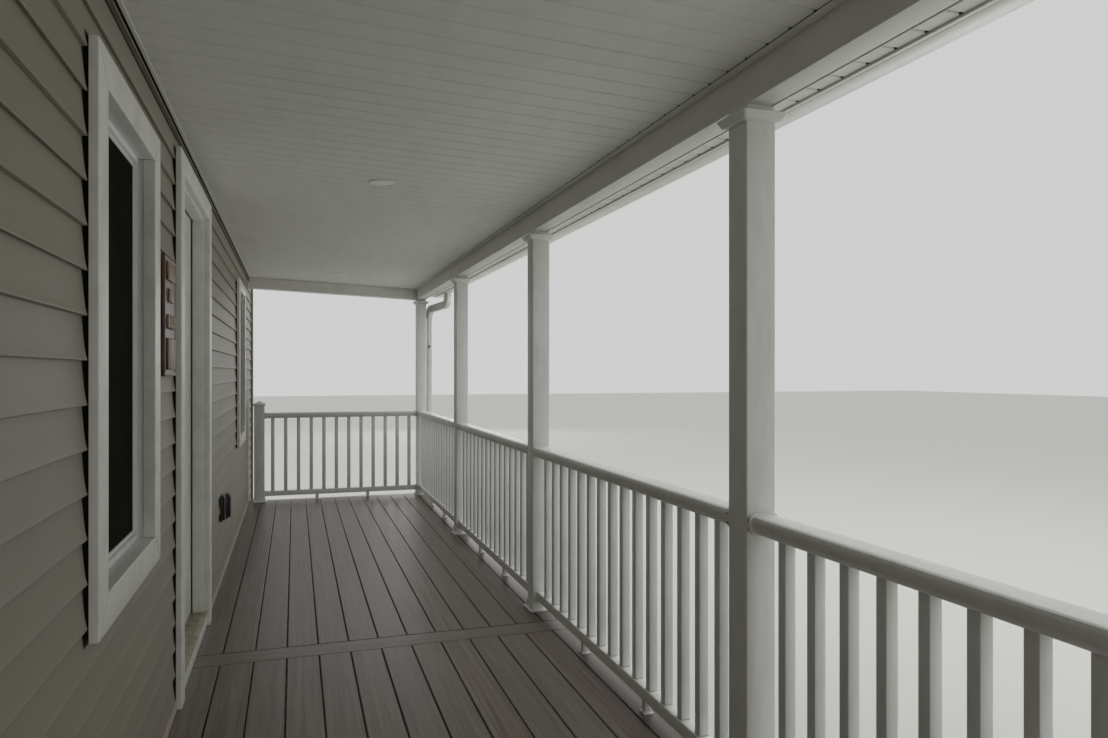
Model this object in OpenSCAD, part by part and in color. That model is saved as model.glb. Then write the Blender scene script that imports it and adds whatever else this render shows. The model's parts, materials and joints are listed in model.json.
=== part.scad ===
// Front porch on a house wall: deck, posts, railings, beam, ceiling and shed roof.
// X runs along the house, Y runs into the house and Z runs up from the ground.
// The origin is on the underside of the foundation, midway along the wall.

/* [Porch] */
// Length of the deck from end to end
porch_len = 9320; // [9000:10:9800]
// Depth of the deck from the siding to the edge of the nosing
deck_depth = 1857; // [1600:1:2300]
// Height of the deck's top above the ground
deck_h = 570; // [510:1:640]
// Height from the deck to the underside of the beam
beam_clear = 2124; // [2060:1:2400]
// Height from the deck to the face of the ceiling at the front beam
ceiling_clear = 2230; // [2190:1:2560]
// Rise of the ceiling towards the wall, for each unit of its depth
ceiling_slope = 0.042; // [0:0.002:0.06]

/* [Deck] */
// Width of a deck board
board_w = 139.7; // [120:0.1:150]
// Thickness of a deck board
board_t = 24; // [20:0.5:30]
// Gap between deck boards
board_gap = 5.3; // [3:0.1:8]
// Radius of the rounded edge on the outer board
nosing_r = 10; // [6:0.5:11]
// Width of the cross board that parts the deck boards
breaker_w = 150; // [120:0.1:160]
// Place of the cross board along the house
breaker_x = 0; // [-100:1:100]
// Depth of the joists under the boards
joist_h = 184; // [140:1:200]
// Thickness of one framing timber
timber_t = 38; // [34:1:45]
// Spacing of the joists
joist_pitch = 406.4; // [300:0.1:610]
// Thickness of the skirt board
skirt_t = 19; // [15:1:25]
// Diameter of a concrete pier
pier_d = 254; // [200:1:305]

/* [Posts] */
// Side of a square post
post_w = 99; // [90:0.1:127]
// Spacing of the posts from the far corner
bay = 2130; // [2000:1:2250]
// Distance from the deck's edge to the face of a post
post_inset = 47; // [35:1:60]
// Height of the trim at a post's foot
foot_trim_h = 50; // [40:1:70]
// How far a foot trim stands out at the bottom
foot_trim_out = 20; // [12:1:26]
// Height of the trim at a post's head
head_trim_h = 28; // [22:1:50]
// How far a head trim stands out at the top
head_trim_out = 28; // [20:1:40]
// Gap between a head trim and the beam
head_gap = 22; // [6:1:30]
// Height of the half post at the wall
newel_h = 990; // [960:1:1060]

/* [Railing] */
// Height of the top of the rail above the deck
rail_top = 914; // [860:1:930]
// Width of the top rail
rail_w = 88; // [70:1:94]
// Height of the top rail
rail_h = 54; // [44:1:60]
// Width of the bottom rail
foot_rail_w = 50; // [44:1:60]
// Height of the bottom rail
foot_rail_h = 50; // [40:1:60]
// Gap under the bottom rail
foot_rail_gap = 58; // [50:1:75]
// Side of a square baluster
baluster_w = 34; // [30:1:40]
// Spacing of the balusters
baluster_pitch = 127.5; // [110:0.5:135]
// Least distance from a post to the centre of the next baluster
baluster_end = 70; // [55:1:90]
// Depth of the collar that joins a rail to a post
collar_t = 18; // [12:1:24]

/* [Wall] */
// Thickness of the house wall without siding
wall_t = 100; // [90:1:140]
// Height of the wall's top above the deck
wall_clear = 3080; // [3040:1:3300]
// How far the wall runs past each end of the deck
wall_past = 450; // [200:1:600]
// Thickness of the foundation wall
foundation_t = 200; // [190:1:250]
// How far the top of the foundation lies below the deck
foundation_drop = 270; // [240:1:320]
// Height of the house floor above the deck
floor_step = 60; // [40:1:80]
// Height of siding that each course shows
siding_pitch = 101.6; // [90:0.1:127]
// Thickness of the siding at the foot of a course
siding_t = 16; // [12:0.5:20]
// Thickness of the siding at the head of a course
siding_thin = 5; // [3:0.5:8]
// Width of the boards on the wall's corners
corner_w = 60; // [40:1:90]
// Thickness of the trim on the wall
trim_t = 34; // [28:1:40]

/* [Windows] */
// Centre of the near window along the house
near_window_x = -1451; // [-1500:1:-1400]
// Centre of the far window along the house
far_window_x = 3270; // [3100:1:3400]
// Width of a window's casing from edge to edge
window_w = 850; // [800:1:920]
// Height of the casing's lower edge above the deck
window_sill = 716; // [660:1:780]
// Height of the casing's upper edge above the deck
window_head = 2104; // [1980:1:2120]
// Width of a casing board at the side of a window or the door
casing_w = 100; // [90:1:112]
// Width of a casing board over or under a window
casing_head_w = 89; // [84:1:100]
// Setback of the sash behind the face of the casing
sash_back = 70; // [60:1:80]
// Width of a sash's rails and stiles
sash_w = 38; // [30:1:50]
// Thickness of a sash
sash_t = 26; // [22:1:28]
// Thickness of the glass
glass_t = 6; // [4:0.5:10]

/* [Door] */
// Centre of the door along the house
door_x = 56; // [0:1:120]
// Width of the door leaf
leaf_w = 914; // [813:1:940]
// Height of the door leaf
leaf_h = 2040; // [1980:1:2060]
// Thickness of the door leaf
leaf_t = 45; // [40:1:50]
// Gap round the door leaf
leaf_gap = 7; // [6:0.5:9]
// Thickness of the door's jambs
jamb_t = 22; // [18:1:30]
// Height of the door's sill
door_sill_h = 22; // [18:1:45]
// Height of the knob above the house floor
knob_h = 920; // [860:1:1000]

/* [Roof] */
// How far the fascia stands out past the beam
eave = 127; // [100:1:160]
// Width of the wrapped beam
beam_w = 90; // [88:0.5:101]
// Height of the outer soffit above the beam's underside
soffit_step = 44; // [30:1:60]
// Thickness of the ceiling panels
panel_t = 12; // [8:1:16]
// Spacing of the grooves in the ceiling and soffit
groove_pitch = 101.6; // [90:0.1:127]
// Width of the edge trim round the ceiling
edge_trim_w = 25; // [14:1:32]
// Thickness of the edge trim round the ceiling
edge_trim_t = 4; // [2:0.5:8]
// Thickness of the fascia
fascia_t = 20; // [16:1:26]
// Rise of the roof for each unit of its run
roof_slope = 0.25; // [0.2:0.01:0.28]
// Thickness of the roof's boards and shingles
roof_t = 32; // [26:1:40]
// Thickness of the boards on the gable ends
gable_t = 20; // [15:1:25]
// How far the roof runs past each gable end
rake = 30; // [10:1:60]
// Depth of the rafters
rafter_h = 89; // [80:1:100]
// Depth of the gutter
gutter_h = 88; // [80:1:100]
// Width of the gutter at its top
gutter_w = 122; // [110:1:135]
// Width of the gutter at its bottom
gutter_foot = 76; // [66:1:84]
// Thickness of the gutter's metal
gutter_t = 3; // [2:0.5:4]
// Width of the downspout
spout_w = 76; // [60:1:80]
// Depth of the downspout
spout_d = 51; // [45:1:58]
// Width across a ceiling light's trim
light_d = 130; // [100:1:160]
// Spacing of the ceiling lights
light_pitch = 3700; // [3300:1:4000]

/* [Steps] */
// Number of risers from the ground to the deck
risers = 3; // [3:1:3]
// Depth of one tread from nosing to nosing
tread_run = 280; // [260:1:310]
// Thickness of a stair's side timbers
stringer_t = 38; // [34:1:45]

/* [Fittings] */
// Width of the plaque beside the door
plaque_w = 260; // [200:1:290]
// Height of the plaque
plaque_h = 430; // [360:1:480]
// Width of an outlet cover
outlet_w = 90; // [70:1:110]
// Height of an outlet cover
outlet_h = 165; // [120:1:180]

/* [Hidden] */
$fn = 48;
eps = 1;
white = [0.91, 0.91, 0.89];
taupe = [0.55, 0.51, 0.45];
board_brown = [0.40, 0.34, 0.30];
timber = [0.62, 0.55, 0.38];
concrete = [0.60, 0.60, 0.58];

// Places across the porch
sheath_y = -wall_t;
siding_y = sheath_y - siding_t;
casing_y = sheath_y - trim_t;
deck_edge_y = siding_y - deck_depth;
post_y = deck_edge_y + post_inset + post_w / 2;
post_in_y = post_y + post_w / 2;
beam_out_y = post_in_y - beam_w;
fascia_y = beam_out_y - eave - fascia_t;
skirt_y = deck_edge_y + 40;

// Places along the porch
half = porch_len / 2;
wall_half = half + wall_past;
corner_x = half - post_inset - post_w / 2;
last_bay_x = corner_x - 3 * bay;
stair_post_x = (last_bay_x - corner_x) / 2;
post_xs = [corner_x, corner_x - bay, corner_x - 2 * bay, last_bay_x, stair_post_x, -corner_x];
gable_x = corner_x + post_w / 2;
roof_half = gable_x + gable_t + rake;

// Heights
floor_z = deck_h + floor_step;
foundation_h = deck_h - foundation_drop;
wall_top = deck_h + wall_clear;
beam_z = deck_h + beam_clear;
ceiling_z = deck_h + ceiling_clear;
soffit_z = beam_z + soffit_step;
fascia_z = soffit_z - 6;
seat_over_ceiling = 50;
rafter_seat_z = ceiling_z + seat_over_ceiling;
roof_eave_z = rafter_seat_z + rafter_h - (post_in_y - fascia_y) * roof_slope;
joist_z = deck_h - board_t - joist_h;
head_z = beam_z - head_gap - head_trim_h;
leaf_z = floor_z + door_sill_h + leaf_gap;
door_open_w = leaf_w + 2 * leaf_gap;
door_rough_w = door_open_w + 2 * jamb_t;
door_head_z = leaf_z + leaf_h + leaf_gap;
leaf_y = -leaf_t - 1;

function ceiling_under_z(y) = ceiling_z + (y - post_in_y) * ceiling_slope;
function roof_under_z(y) = roof_eave_z + (y - fascia_y) * roof_slope;

module box(x0, x1, y0, y1, z0, z1) {
    translate([x0, y0, z0]) cube([x1 - x0, y1 - y0, z1 - z0]);
}

// A profile in Y and Z, drawn along X
module along_x(x0, x1) {
    translate([x0, 0, 0]) rotate([90, 0, 90]) linear_extrude(x1 - x0) children();
}

// A profile in X and Z, drawn along Y
module along_y(y0, y1) {
    translate([0, y1, 0]) rotate([90, 0, 0]) linear_extrude(y1 - y0) children();
}

// House wall

module foundation() {
    color(concrete)
        box(-wall_half, wall_half, sheath_y, sheath_y + foundation_t, 0, foundation_h);
}

module house_rim() {
    color(timber) box(-wall_half, wall_half, sheath_y, 0, foundation_h, floor_z);
}

hole_in = 85;
window_hole_w = window_w - 2 * hole_in;
window_hole_z0 = deck_h + window_sill + hole_in;
window_hole_z1 = deck_h + window_head - hole_in;

module window_hole(x, y0, y1) {
    box(x - window_hole_w / 2, x + window_hole_w / 2, y0, y1, window_hole_z0, window_hole_z1);
}

module wall_near() {
    color(timber) difference() {
        box(-wall_half, door_x - door_rough_w / 2, sheath_y, 0, floor_z, wall_top);
        window_hole(near_window_x, sheath_y - eps, eps);
    }
}

module wall_far() {
    color(timber) difference() {
        box(door_x + door_rough_w / 2, wall_half, sheath_y, 0, floor_z, wall_top);
        window_hole(far_window_x, sheath_y - eps, eps);
    }
}

door_frame_top = door_head_z + jamb_t;

module wall_over_door() {
    color(timber)
        box(door_x - door_rough_w / 2, door_x + door_rough_w / 2, sheath_y, 0, door_frame_top, wall_top);
}

// Lapped siding between two heights: each course leans out to its foot
function siding_points(z0, z1) =
    let(n = ceil((z1 - z0) / siding_pitch))
    concat(
        [[sheath_y, z0]],
        [for (i = [0:n - 1]) each [
            [sheath_y - siding_t, z0 + i * siding_pitch],
            [sheath_y - siding_thin, z0 + (i + 1) * siding_pitch]
        ]],
        [[sheath_y, z0 + n * siding_pitch]]
    );

base_strip_h = 40;
siding_foot_z = deck_h + base_strip_h;
siding_gap = 9;
upper_siding_z = roof_under_z(sheath_y) + roof_t + 90;
corner_in = wall_half - corner_w;
low_courses = floor((siding_foot_z - foundation_h) / siding_pitch);
siding_low_z = siding_foot_z - low_courses * siding_pitch;

// One skin of courses, cut away where the porch, its roof, the windows and the door meet the wall
module siding() {
    color(taupe) difference() {
        along_x(-corner_in, corner_in)
            polygon(siding_points(siding_low_z, wall_top));
        box(-wall_half, wall_half, casing_y, 0, wall_top, wall_top + siding_pitch);
        box(-half, half, casing_y, 0, foundation_h - siding_pitch, siding_foot_z);
        box(-gable_x - gable_t, gable_x + gable_t, casing_y, 0, ceiling_under_z(siding_y), upper_siding_z);
        box(-roof_half, roof_half, casing_y, 0, roof_under_z(siding_y) - 3, upper_siding_z);
        for (x = [near_window_x, far_window_x])
            box(x - window_w / 2 - siding_gap, x + window_w / 2 + siding_gap, casing_y, 0,
                deck_h + window_sill - siding_gap, deck_h + window_head + siding_gap);
        box(door_x - door_casing_w / 2 - siding_gap, door_x + door_casing_w / 2 + siding_gap,
            casing_y, 0, 0, door_casing_top + siding_gap);
    }
}

corner_t = 28;

// Boards on the wall's two corners
module corner_boards() {
    color(taupe) for (s = [-1, 1])
        box(min(s * corner_in, s * wall_half), max(s * corner_in, s * wall_half),
            sheath_y - corner_t, sheath_y, siding_low_z, wall_top);
}

// The strip along the foot of the siding, on each side of the door
module base_strip() {
    color(white) {
        box(-half, door_x - door_casing_w / 2, siding_y - 2, sheath_y, deck_h + 2, siding_foot_z);
        box(door_x + door_casing_w / 2, half, siding_y - 2, sheath_y, deck_h + 2, siding_foot_z);
    }
}

// Windows

module window_casing(x) {
    difference() {
        box(x - window_w / 2, x + window_w / 2, casing_y, sheath_y,
            deck_h + window_sill, deck_h + window_head);
        box(x - window_w / 2 + casing_w, x + window_w / 2 - casing_w, casing_y - eps, sheath_y + eps,
            deck_h + window_sill + casing_head_w, deck_h + window_head - casing_head_w);
    }
}

module window_casings() {
    color(white) for (x = [near_window_x, far_window_x]) window_casing(x);
}

frame_t = 20;
sash_y = casing_y + sash_back;
frame_in_w = window_hole_w - 2 * frame_t;
frame_z0 = window_hole_z0 + frame_t;
frame_z1 = window_hole_z1 - frame_t;
mid_z = (frame_z0 + frame_z1) / 2;

frame_rim = 4;
frame_step = 17;

// A frame that stands back inside the casing, so that it shows as a narrow step
module window_frame(x) {
    difference() {
        box(x - window_hole_w / 2, x + window_hole_w / 2, sheath_y, 0, window_hole_z0, window_hole_z1);
        box(x - frame_in_w / 2, x + frame_in_w / 2, sheath_y - eps, eps, frame_z0, frame_z1);
        box(x - window_hole_w / 2 + frame_rim, x + window_hole_w / 2 - frame_rim,
            sheath_y - eps, sheath_y + frame_step, window_hole_z0 + frame_rim, window_hole_z1 - frame_rim);
    }
}

module window_frames() {
    color(white) for (x = [near_window_x, far_window_x]) window_frame(x);
}

sash_clear = 0.3;
screen_t = 9;
screen_front_t = 4;
screen_groove = 2;
screen_in = 16;
mesh_t = 1.5;
screen_y = sash_y - screen_t - 1;

// A sheet in the window's frame, g inside its opening
module screen_sheet(x, y0, y1, g) {
    box(x - frame_in_w / 2 + g, x + frame_in_w / 2 - g, y0, y1, frame_z0 + g, frame_z1 - g);
}

// Insect screens outside the sashes: a thin frame with a groove round it and the mesh as one sheet
module window_screens() {
    mesh_y = screen_y + screen_front_t;
    color([0.1, 0.1, 0.1]) for (x = [near_window_x, far_window_x])
        difference() {
            union() {
                screen_sheet(x, screen_y, mesh_y, screen_groove);
                screen_sheet(x, mesh_y, screen_y + screen_t, sash_clear);
            }
            screen_sheet(x, screen_y - eps, mesh_y, screen_in);
            screen_sheet(x, mesh_y + mesh_t, screen_y + screen_t + eps, screen_in);
        }
}

module sash(x, y, z0, z1) {
    w = frame_in_w - 2 * sash_clear;
    difference() {
        box(x - w / 2, x + w / 2, y, y + sash_t, z0, z1);
        box(x - w / 2 + sash_w, x + w / 2 - sash_w, y - eps, y + sash_t + eps, z0 + sash_w, z1 - sash_w);
    }
}

// The upper sash hangs outside and the lower one slides inside it
module window_sashes() {
    color(white) for (x = [near_window_x, far_window_x]) {
        sash(x, sash_y, mid_z - sash_w / 2, frame_z1);
        sash(x, sash_y + sash_t + sash_clear, frame_z0, mid_z + sash_w / 2);
    }
}

module sash_glass(x, y, z0, z1) {
    w = frame_in_w - 2 * sash_clear - 2 * sash_w;
    y0 = y + (sash_t - glass_t) / 2;
    box(x - w / 2, x + w / 2, y0, y0 + glass_t, z0 + sash_w, z1 - sash_w);
}

module window_glass() {
    color([0.06, 0.07, 0.07]) for (x = [near_window_x, far_window_x]) {
        sash_glass(x, sash_y, mid_z - sash_w / 2, frame_z1);
        sash_glass(x, sash_y + sash_t + sash_clear, frame_z0, mid_z + sash_w / 2);
    }
}

// Door

jamb_lap = 4;
head_lap = 20;
door_casing_w = door_rough_w - 2 * jamb_lap + 2 * casing_w;
door_casing_top = door_frame_top - head_lap + casing_head_w;

module door_casing() {
    color(white) difference() {
        box(door_x - door_casing_w / 2, door_x + door_casing_w / 2, casing_y, sheath_y,
            deck_h + 2, door_casing_top);
        box(door_x - door_casing_w / 2 + casing_w, door_x + door_casing_w / 2 - casing_w,
            casing_y - eps, sheath_y + eps, 0, door_casing_top - casing_head_w);
    }
}

stop_t = 12;

module door_frame() {
    color(white) difference() {
        box(door_x - door_rough_w / 2, door_x + door_rough_w / 2, sheath_y, 0,
            floor_z + door_sill_h, door_frame_top);
        box(door_x - door_open_w / 2, door_x + door_open_w / 2, leaf_y - leaf_gap, eps, 0, door_head_z);
        box(door_x - door_open_w / 2 + stop_t, door_x + door_open_w / 2 - stop_t, sheath_y - eps, eps,
            0, door_head_z - stop_t);
    }
}

sill_edge_y = casing_y + 10;
sill_nose_t = 10;
sill_fall = 4;

// The threshold lies on the house floor and runs out between the casings as a sloping nose
module door_sill() {
    sill_top = floor_z + door_sill_h;
    color([0.45, 0.43, 0.38]) {
        along_x(door_x - door_rough_w / 2, door_x + door_rough_w / 2)
            polygon([[0, floor_z], [0, sill_top], [sheath_y, sill_top], [sheath_y, floor_z]]);
        along_x(door_x - door_casing_w / 2 + casing_w, door_x + door_casing_w / 2 - casing_w)
            polygon([[sheath_y, sill_top - sill_nose_t], [sheath_y, sill_top],
                     [sill_edge_y, sill_top - sill_fall], [sill_edge_y, sill_top - sill_fall - sill_nose_t]]);
    }
}

sill_board_in = 3;

// The white board under the nose of the threshold
module sill_board() {
    nose_z = floor_z + door_sill_h - sill_nose_t;
    board_y = sill_edge_y + sill_board_in;
    color(white)
        along_x(door_x - door_casing_w / 2 + casing_w, door_x + door_casing_w / 2 - casing_w)
            polygon([[sheath_y, deck_h + 2], [sheath_y, nose_z],
                     [board_y, nose_z - sill_fall * (sheath_y - board_y) / (sheath_y - sill_edge_y)],
                     [board_y, deck_h + 2]]);
}

panel_in = 8;

module leaf_panel(x0, x1, z0, z1) {
    for (y = [leaf_y - eps, -1 - panel_in])
        difference() {
            box(x0, x1, y, y + panel_in + eps, z0, z1);
            box(x0 + 28, x1 - 28, y - eps, y + panel_in + 2 * eps, z0 + 28, z1 - 28);
        }
}

// A leaf with six sunk panels on each face
module door_leaf() {
    x0 = door_x - leaf_w / 2;
    stile = 115;
    pane_w = (leaf_w - 3 * stile) / 2;
    rows = [[0.11, 0.38], [0.45, 0.80], [0.86, 0.945]];
    color(white) difference() {
        box(x0, x0 + leaf_w, leaf_y, -1, leaf_z, leaf_z + leaf_h);
        for (row = rows, i = [0, 1]) {
            px = x0 + stile + i * (pane_w + stile);
            leaf_panel(px, px + pane_w, leaf_z + row[0] * leaf_h, leaf_z + row[1] * leaf_h);
        }
    }
}

knob_x = door_x - leaf_w / 2 + 70;
knob_r = 27;

module knob_side(s, y) {
    translate([knob_x, y, floor_z + knob_h]) rotate([s * 90, 0, 0]) {
        cylinder(r = 32, h = 8);
        cylinder(r = 11, h = 40);
        translate([0, 0, 48]) sphere(r = knob_r);
    }
}

module door_knob() {
    color([0.3, 0.28, 0.25]) {
        knob_side(1, leaf_y);
        knob_side(-1, -1);
    }
}

hinge_x = door_x + leaf_w / 2 + leaf_gap / 2;
hinge_y = 6;
hinge_r = 6;
hinge_l = 100;
hinge_foot = 180;
hinge_top = 280;

// Knuckles on the house side, each with the plate that it carries on the leaf
module door_hinges() {
    color([0.75, 0.74, 0.7])
        for (z = [leaf_z + hinge_foot, leaf_z + (leaf_h - hinge_l) / 2, leaf_z + leaf_h - hinge_top]) {
            translate([hinge_x, hinge_y, z]) cylinder(r = hinge_r, h = hinge_l);
            box(hinge_x - 30, hinge_x, -1, 1.5, z, z + hinge_l);
        }
}

// Fittings on the wall

plaque_x = -770;
plaque_foot = 1320;
near_outlet_x = 1431;
near_outlet_foot = 387;
far_outlet_x = 1864;
far_outlet_foot = 330;

module plaque() {
    color([0.25, 0.20, 0.16])
        box(plaque_x - plaque_w / 2, plaque_x + plaque_w / 2, siding_y - 20, siding_y,
            deck_h + plaque_foot, deck_h + plaque_foot + plaque_h);
}

module outlet_covers() {
    color([0.16, 0.15, 0.14]) for (outlet = [[near_outlet_x, near_outlet_foot], [far_outlet_x, far_outlet_foot]])
        box(outlet.x - outlet_w / 2, outlet.x + outlet_w / 2, siding_y - 25, siding_y,
            deck_h + outlet.y, deck_h + outlet.y + outlet_h);
}

// Deck

module board_profile(w) {
    e = 3;
    polygon([[e, 0], [w - e, 0], [w, e], [w, board_t - e], [w - e, board_t], [e, board_t],
             [0, board_t - e], [0, e]]);
}

nosing_in_y = deck_edge_y + board_w;
full_boards = floor((siding_y - nosing_in_y) / (board_w + board_gap));
ripped_y = nosing_in_y + board_gap + full_boards * (board_w + board_gap);

// Corner of the nosing that is cut away for the downspout
module spout_notch(rise) {
    box(corner_x - spout_w / 2 - spout_clear, corner_x + spout_w / 2 + spout_clear,
        deck_edge_y - eps, spout_y + spout_d / 2 + spout_clear, 0, deck_h + rise + eps);
}

// The outer board, with its rounded edge towards the street
module nosing(x0, x1) {
    along_x(x0, x1) translate([deck_edge_y, deck_h - board_t]) nosing_outline();
}

module nosing_outline() {
    translate([nosing_r, nosing_r]) circle(r = nosing_r);
    translate([nosing_r, board_t - nosing_r]) circle(r = nosing_r);
    translate([0, nosing_r]) square([nosing_r, board_t - 2 * nosing_r]);
    translate([nosing_r, 0]) square([board_w - nosing_r, board_t]);
}

module deck_run(x0, x1) {
    for (i = [0:full_boards - 1])
        along_x(x0, x1) translate([nosing_in_y + board_gap + i * (board_w + board_gap), deck_h - board_t])
            board_profile(board_w);
    if (siding_y - 2 - ripped_y > 20)
        box(x0, x1, ripped_y, siding_y - 2, deck_h - board_t, deck_h);
}

// The board along one end of the deck, between the outer board and the siding
module end_board(s) {
    along_y(nosing_in_y + board_gap, siding_y - 2) translate([s * half, deck_h - board_t])
        mirror([s > 0 ? 1 : 0, 0]) nosing_outline();
}

end_board_x = half - board_w - board_gap;

module deck_boards_far() {
    color(board_brown) {
        difference() {
            nosing(breaker_x + breaker_w / 2 + board_gap, half);
            spout_notch(0);
        }
        deck_run(breaker_x + breaker_w / 2 + board_gap, end_board_x);
        end_board(1);
    }
}

module deck_boards_near() {
    color(board_brown) {
        nosing(-half, breaker_x - breaker_w / 2 - board_gap);
        deck_run(-end_board_x, breaker_x - breaker_w / 2 - board_gap);
        end_board(-1);
    }
}

module breaker_board() {
    color(board_brown)
        along_y(deck_edge_y, siding_y - 2) translate([breaker_x - breaker_w / 2, deck_h - board_t])
            board_profile(breaker_w);
}

frame_half = half - 42;
frame_front_y = skirt_y + skirt_t;
joist_count = ceil(2 * frame_half / joist_pitch);
joist_gap = 0.4;

// Ledger on the wall, doubled beam at the front, and the joists that run between them
module deck_frame() {
    top = deck_h - board_t;
    color(timber) {
        box(-frame_half, frame_half, sheath_y - timber_t, sheath_y, joist_z, top);
        box(-frame_half, frame_half, frame_front_y, frame_front_y + 2 * timber_t, joist_z, top);
        for (i = [0:joist_count]) {
            x = min(-frame_half + i * joist_pitch, frame_half - timber_t);
            box(x, x + timber_t, frame_front_y + 2 * timber_t + joist_gap,
                sheath_y - timber_t - joist_gap, joist_z, top);
        }
    }
}

module skirt_boards() {
    color(white) {
        box(-frame_half - skirt_t, frame_half + skirt_t, skirt_y, frame_front_y, joist_z - 20, deck_h - board_t);
        for (s = [-1, 1]) {
            x0 = s > 0 ? frame_half : -frame_half - skirt_t;
            box(x0, x0 + skirt_t, frame_front_y - eps, casing_y, joist_z - 20, deck_h - board_t);
        }
    }
}

module piers() {
    color(concrete) for (x = post_xs)
        translate([max(-frame_half + pier_d / 2, min(frame_half - pier_d / 2, x)),
                   frame_front_y + pier_d / 2, 0])
            cylinder(d = pier_d, h = joist_z);
}

// Posts

module posts() {
    color(white) for (x = post_xs)
        box(x - post_w / 2, x + post_w / 2, post_y - post_w / 2, post_y + post_w / 2, deck_h, beam_z);
}

// Half of a trim's outline: it widens from the post to its outer edge in a cove
function cove_points(h, out) = concat(
    [[0, 0], [5, 0]],
    [for (a = [0:15:90]) [5 + (out - 5) * (1 - cos(a)), 8 + (h - 18) * sin(a)]],
    [[out, h - 6], [out, h], [0, h]]
);

// Half of a head trim's outline: a low step at its foot and a straight flare to its top
function flare_points(h, out) = [
    [0, 0], [2, 0], [out * 0.6, 6], [out, h - 1.5], [out - 1.5, h], [0, h]
];

module collar_outline(w, h, points) {
    for (m = [0, 1]) mirror([m, 0]) {
        translate([w / 2, 0]) polygon(points);
        square([w / 2, h]);
    }
}

// A square collar round a post, with mitred corners
module post_collar(w, h, points) {
    difference() {
        intersection() {
            along_x(-w, w) collar_outline(w, h, points);
            along_y(-w, w) collar_outline(w, h, points);
        }
        box(-w / 2, w / 2, -w / 2, w / 2, -eps, h + eps);
    }
}

module post_heads() {
    color(white) for (x = post_xs)
        translate([x, post_y, head_z])
            post_collar(post_w, head_trim_h, flare_points(head_trim_h, head_trim_out));
}

module foot_collar() {
    translate([0, 0, foot_trim_h]) mirror([0, 0, 1])
        post_collar(post_w, foot_trim_h, cove_points(foot_trim_h, foot_trim_out));
}

// The trims at the feet of the posts and of the half posts at the wall
module post_feet() {
    color(white) {
        difference() {
            for (x = post_xs) translate([x, post_y, deck_h]) foot_collar();
            spout_notch(foot_trim_h);
        }
        for (s = [-1, 1]) translate([s * corner_x, newel_y, deck_h]) foot_collar();
    }
}

newel_wall_gap = 50;
newel_y = siding_y - newel_wall_gap - post_w / 2;
cap_w = post_w + 26;

module newel_cap() {
    intersection() {
        along_x(-cap_w, cap_w)
            polygon([[-cap_w / 2, 0], [cap_w / 2, 0], [cap_w / 2, 16], [0, 42], [-cap_w / 2, 16]]);
        along_y(-cap_w, cap_w)
            polygon([[-cap_w / 2, 0], [cap_w / 2, 0], [cap_w / 2, 16], [0, 42], [-cap_w / 2, 16]]);
    }
}

module wall_newels() {
    color(white) for (s = [-1, 1]) translate([s * corner_x, newel_y, deck_h]) {
        box(-post_w / 2, post_w / 2, -post_w / 2, post_w / 2, 0, newel_h);
        translate([0, 0, newel_h]) newel_cap();
    }
}

// Railings

// Outline of the top rail: flat top, rounded shoulders and a narrower foot, g larger all round
function rail_points(g) = let(w = rail_w / 2 + g, h = rail_h + g, r = 16 + g) concat(
    [for (a = [0:15:90]) [w - r + r * sin(a), g - r + r * cos(a)]],
    [[w, -h + 22], [w - 8, -h + 10], [w - 16, -h], [-w + 16, -h], [-w + 8, -h + 10], [-w, -h + 22]],
    [for (a = [90:-15:0]) [-w + r - r * sin(a), g - r + r * cos(a)]]
);

groove_in = 13;
foot_block_w = 30;

module rail_outline() {
    difference() {
        polygon(rail_points(0));
        for (s = [-1, 1]) translate([s * (rail_w / 2 - groove_in) - 1, -2]) square([2, 3]);
    }
}

// One panel of railing along X from 0 to len, standing on the deck
module rail_panel(len) {
    foot_top = foot_rail_gap + foot_rail_h;
    n = floor((len - 2 * baluster_end) / baluster_pitch) + 1;
    start = (len - (n - 1) * baluster_pitch) / 2;
    along_x(0, len) translate([0, rail_top]) rail_outline();
    for (x = [0, len - collar_t])
        along_x(x, x + collar_t) translate([0, rail_top]) polygon(rail_points(5));
    box(0, len, -foot_rail_w / 2, foot_rail_w / 2, foot_rail_gap, foot_top);
    for (x = [0, len - collar_t])
        box(x, x + collar_t, -foot_rail_w / 2 - 4, foot_rail_w / 2 + 4, foot_rail_gap - 4, foot_top + 4);
    for (i = [0:n - 1]) {
        x = start + i * baluster_pitch;
        box(x - baluster_w / 2, x + baluster_w / 2, -baluster_w / 2, baluster_w / 2,
            foot_top - eps, rail_top - rail_h + eps);
    }
    for (x = [len / 3, 2 * len / 3])
        box(x - foot_block_w / 2, x + foot_block_w / 2, -foot_block_w / 2, foot_block_w / 2,
            0, foot_rail_gap + eps);
}

module front_rail(i) {
    x0 = post_xs[i + 1] + post_w / 2;
    x1 = post_xs[i] - post_w / 2;
    color(white) translate([x0, post_y, deck_h]) rail_panel(x1 - x0);
}

module front_rail_1() { front_rail(0); }
module front_rail_2() { front_rail(1); }
module front_rail_3() { front_rail(2); }
module front_rail_4() { front_rail(3); }

module end_rail(x) {
    y0 = post_y + post_w / 2;
    y1 = newel_y - post_w / 2;
    color(white) translate([x, y0, deck_h]) rotate([0, 0, 90]) rail_panel(y1 - y0);
}

module far_rail() { end_rail(corner_x); }
module near_rail() { end_rail(-corner_x); }

// Beams and ceiling

module beam_front() {
    color(white) box(-gable_x, gable_x, beam_out_y, post_in_y, beam_z, rafter_seat_z);
}

// A board that lies along the ceiling, from low to high over the ceiling's face
module sloped(x0, x1, y0, y1, low, high) {
    along_x(x0, x1)
        polygon([for (p = [[y0, low], [y1, low], [y1, high], [y0, high]]) [p[0], ceiling_under_z(p[0]) + p[1]]]);
}

module end_beam(x) {
    color(white) sloped(x - beam_w / 2, x + beam_w / 2, post_in_y, siding_y, beam_z - ceiling_z, seat_over_ceiling);
}

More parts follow.
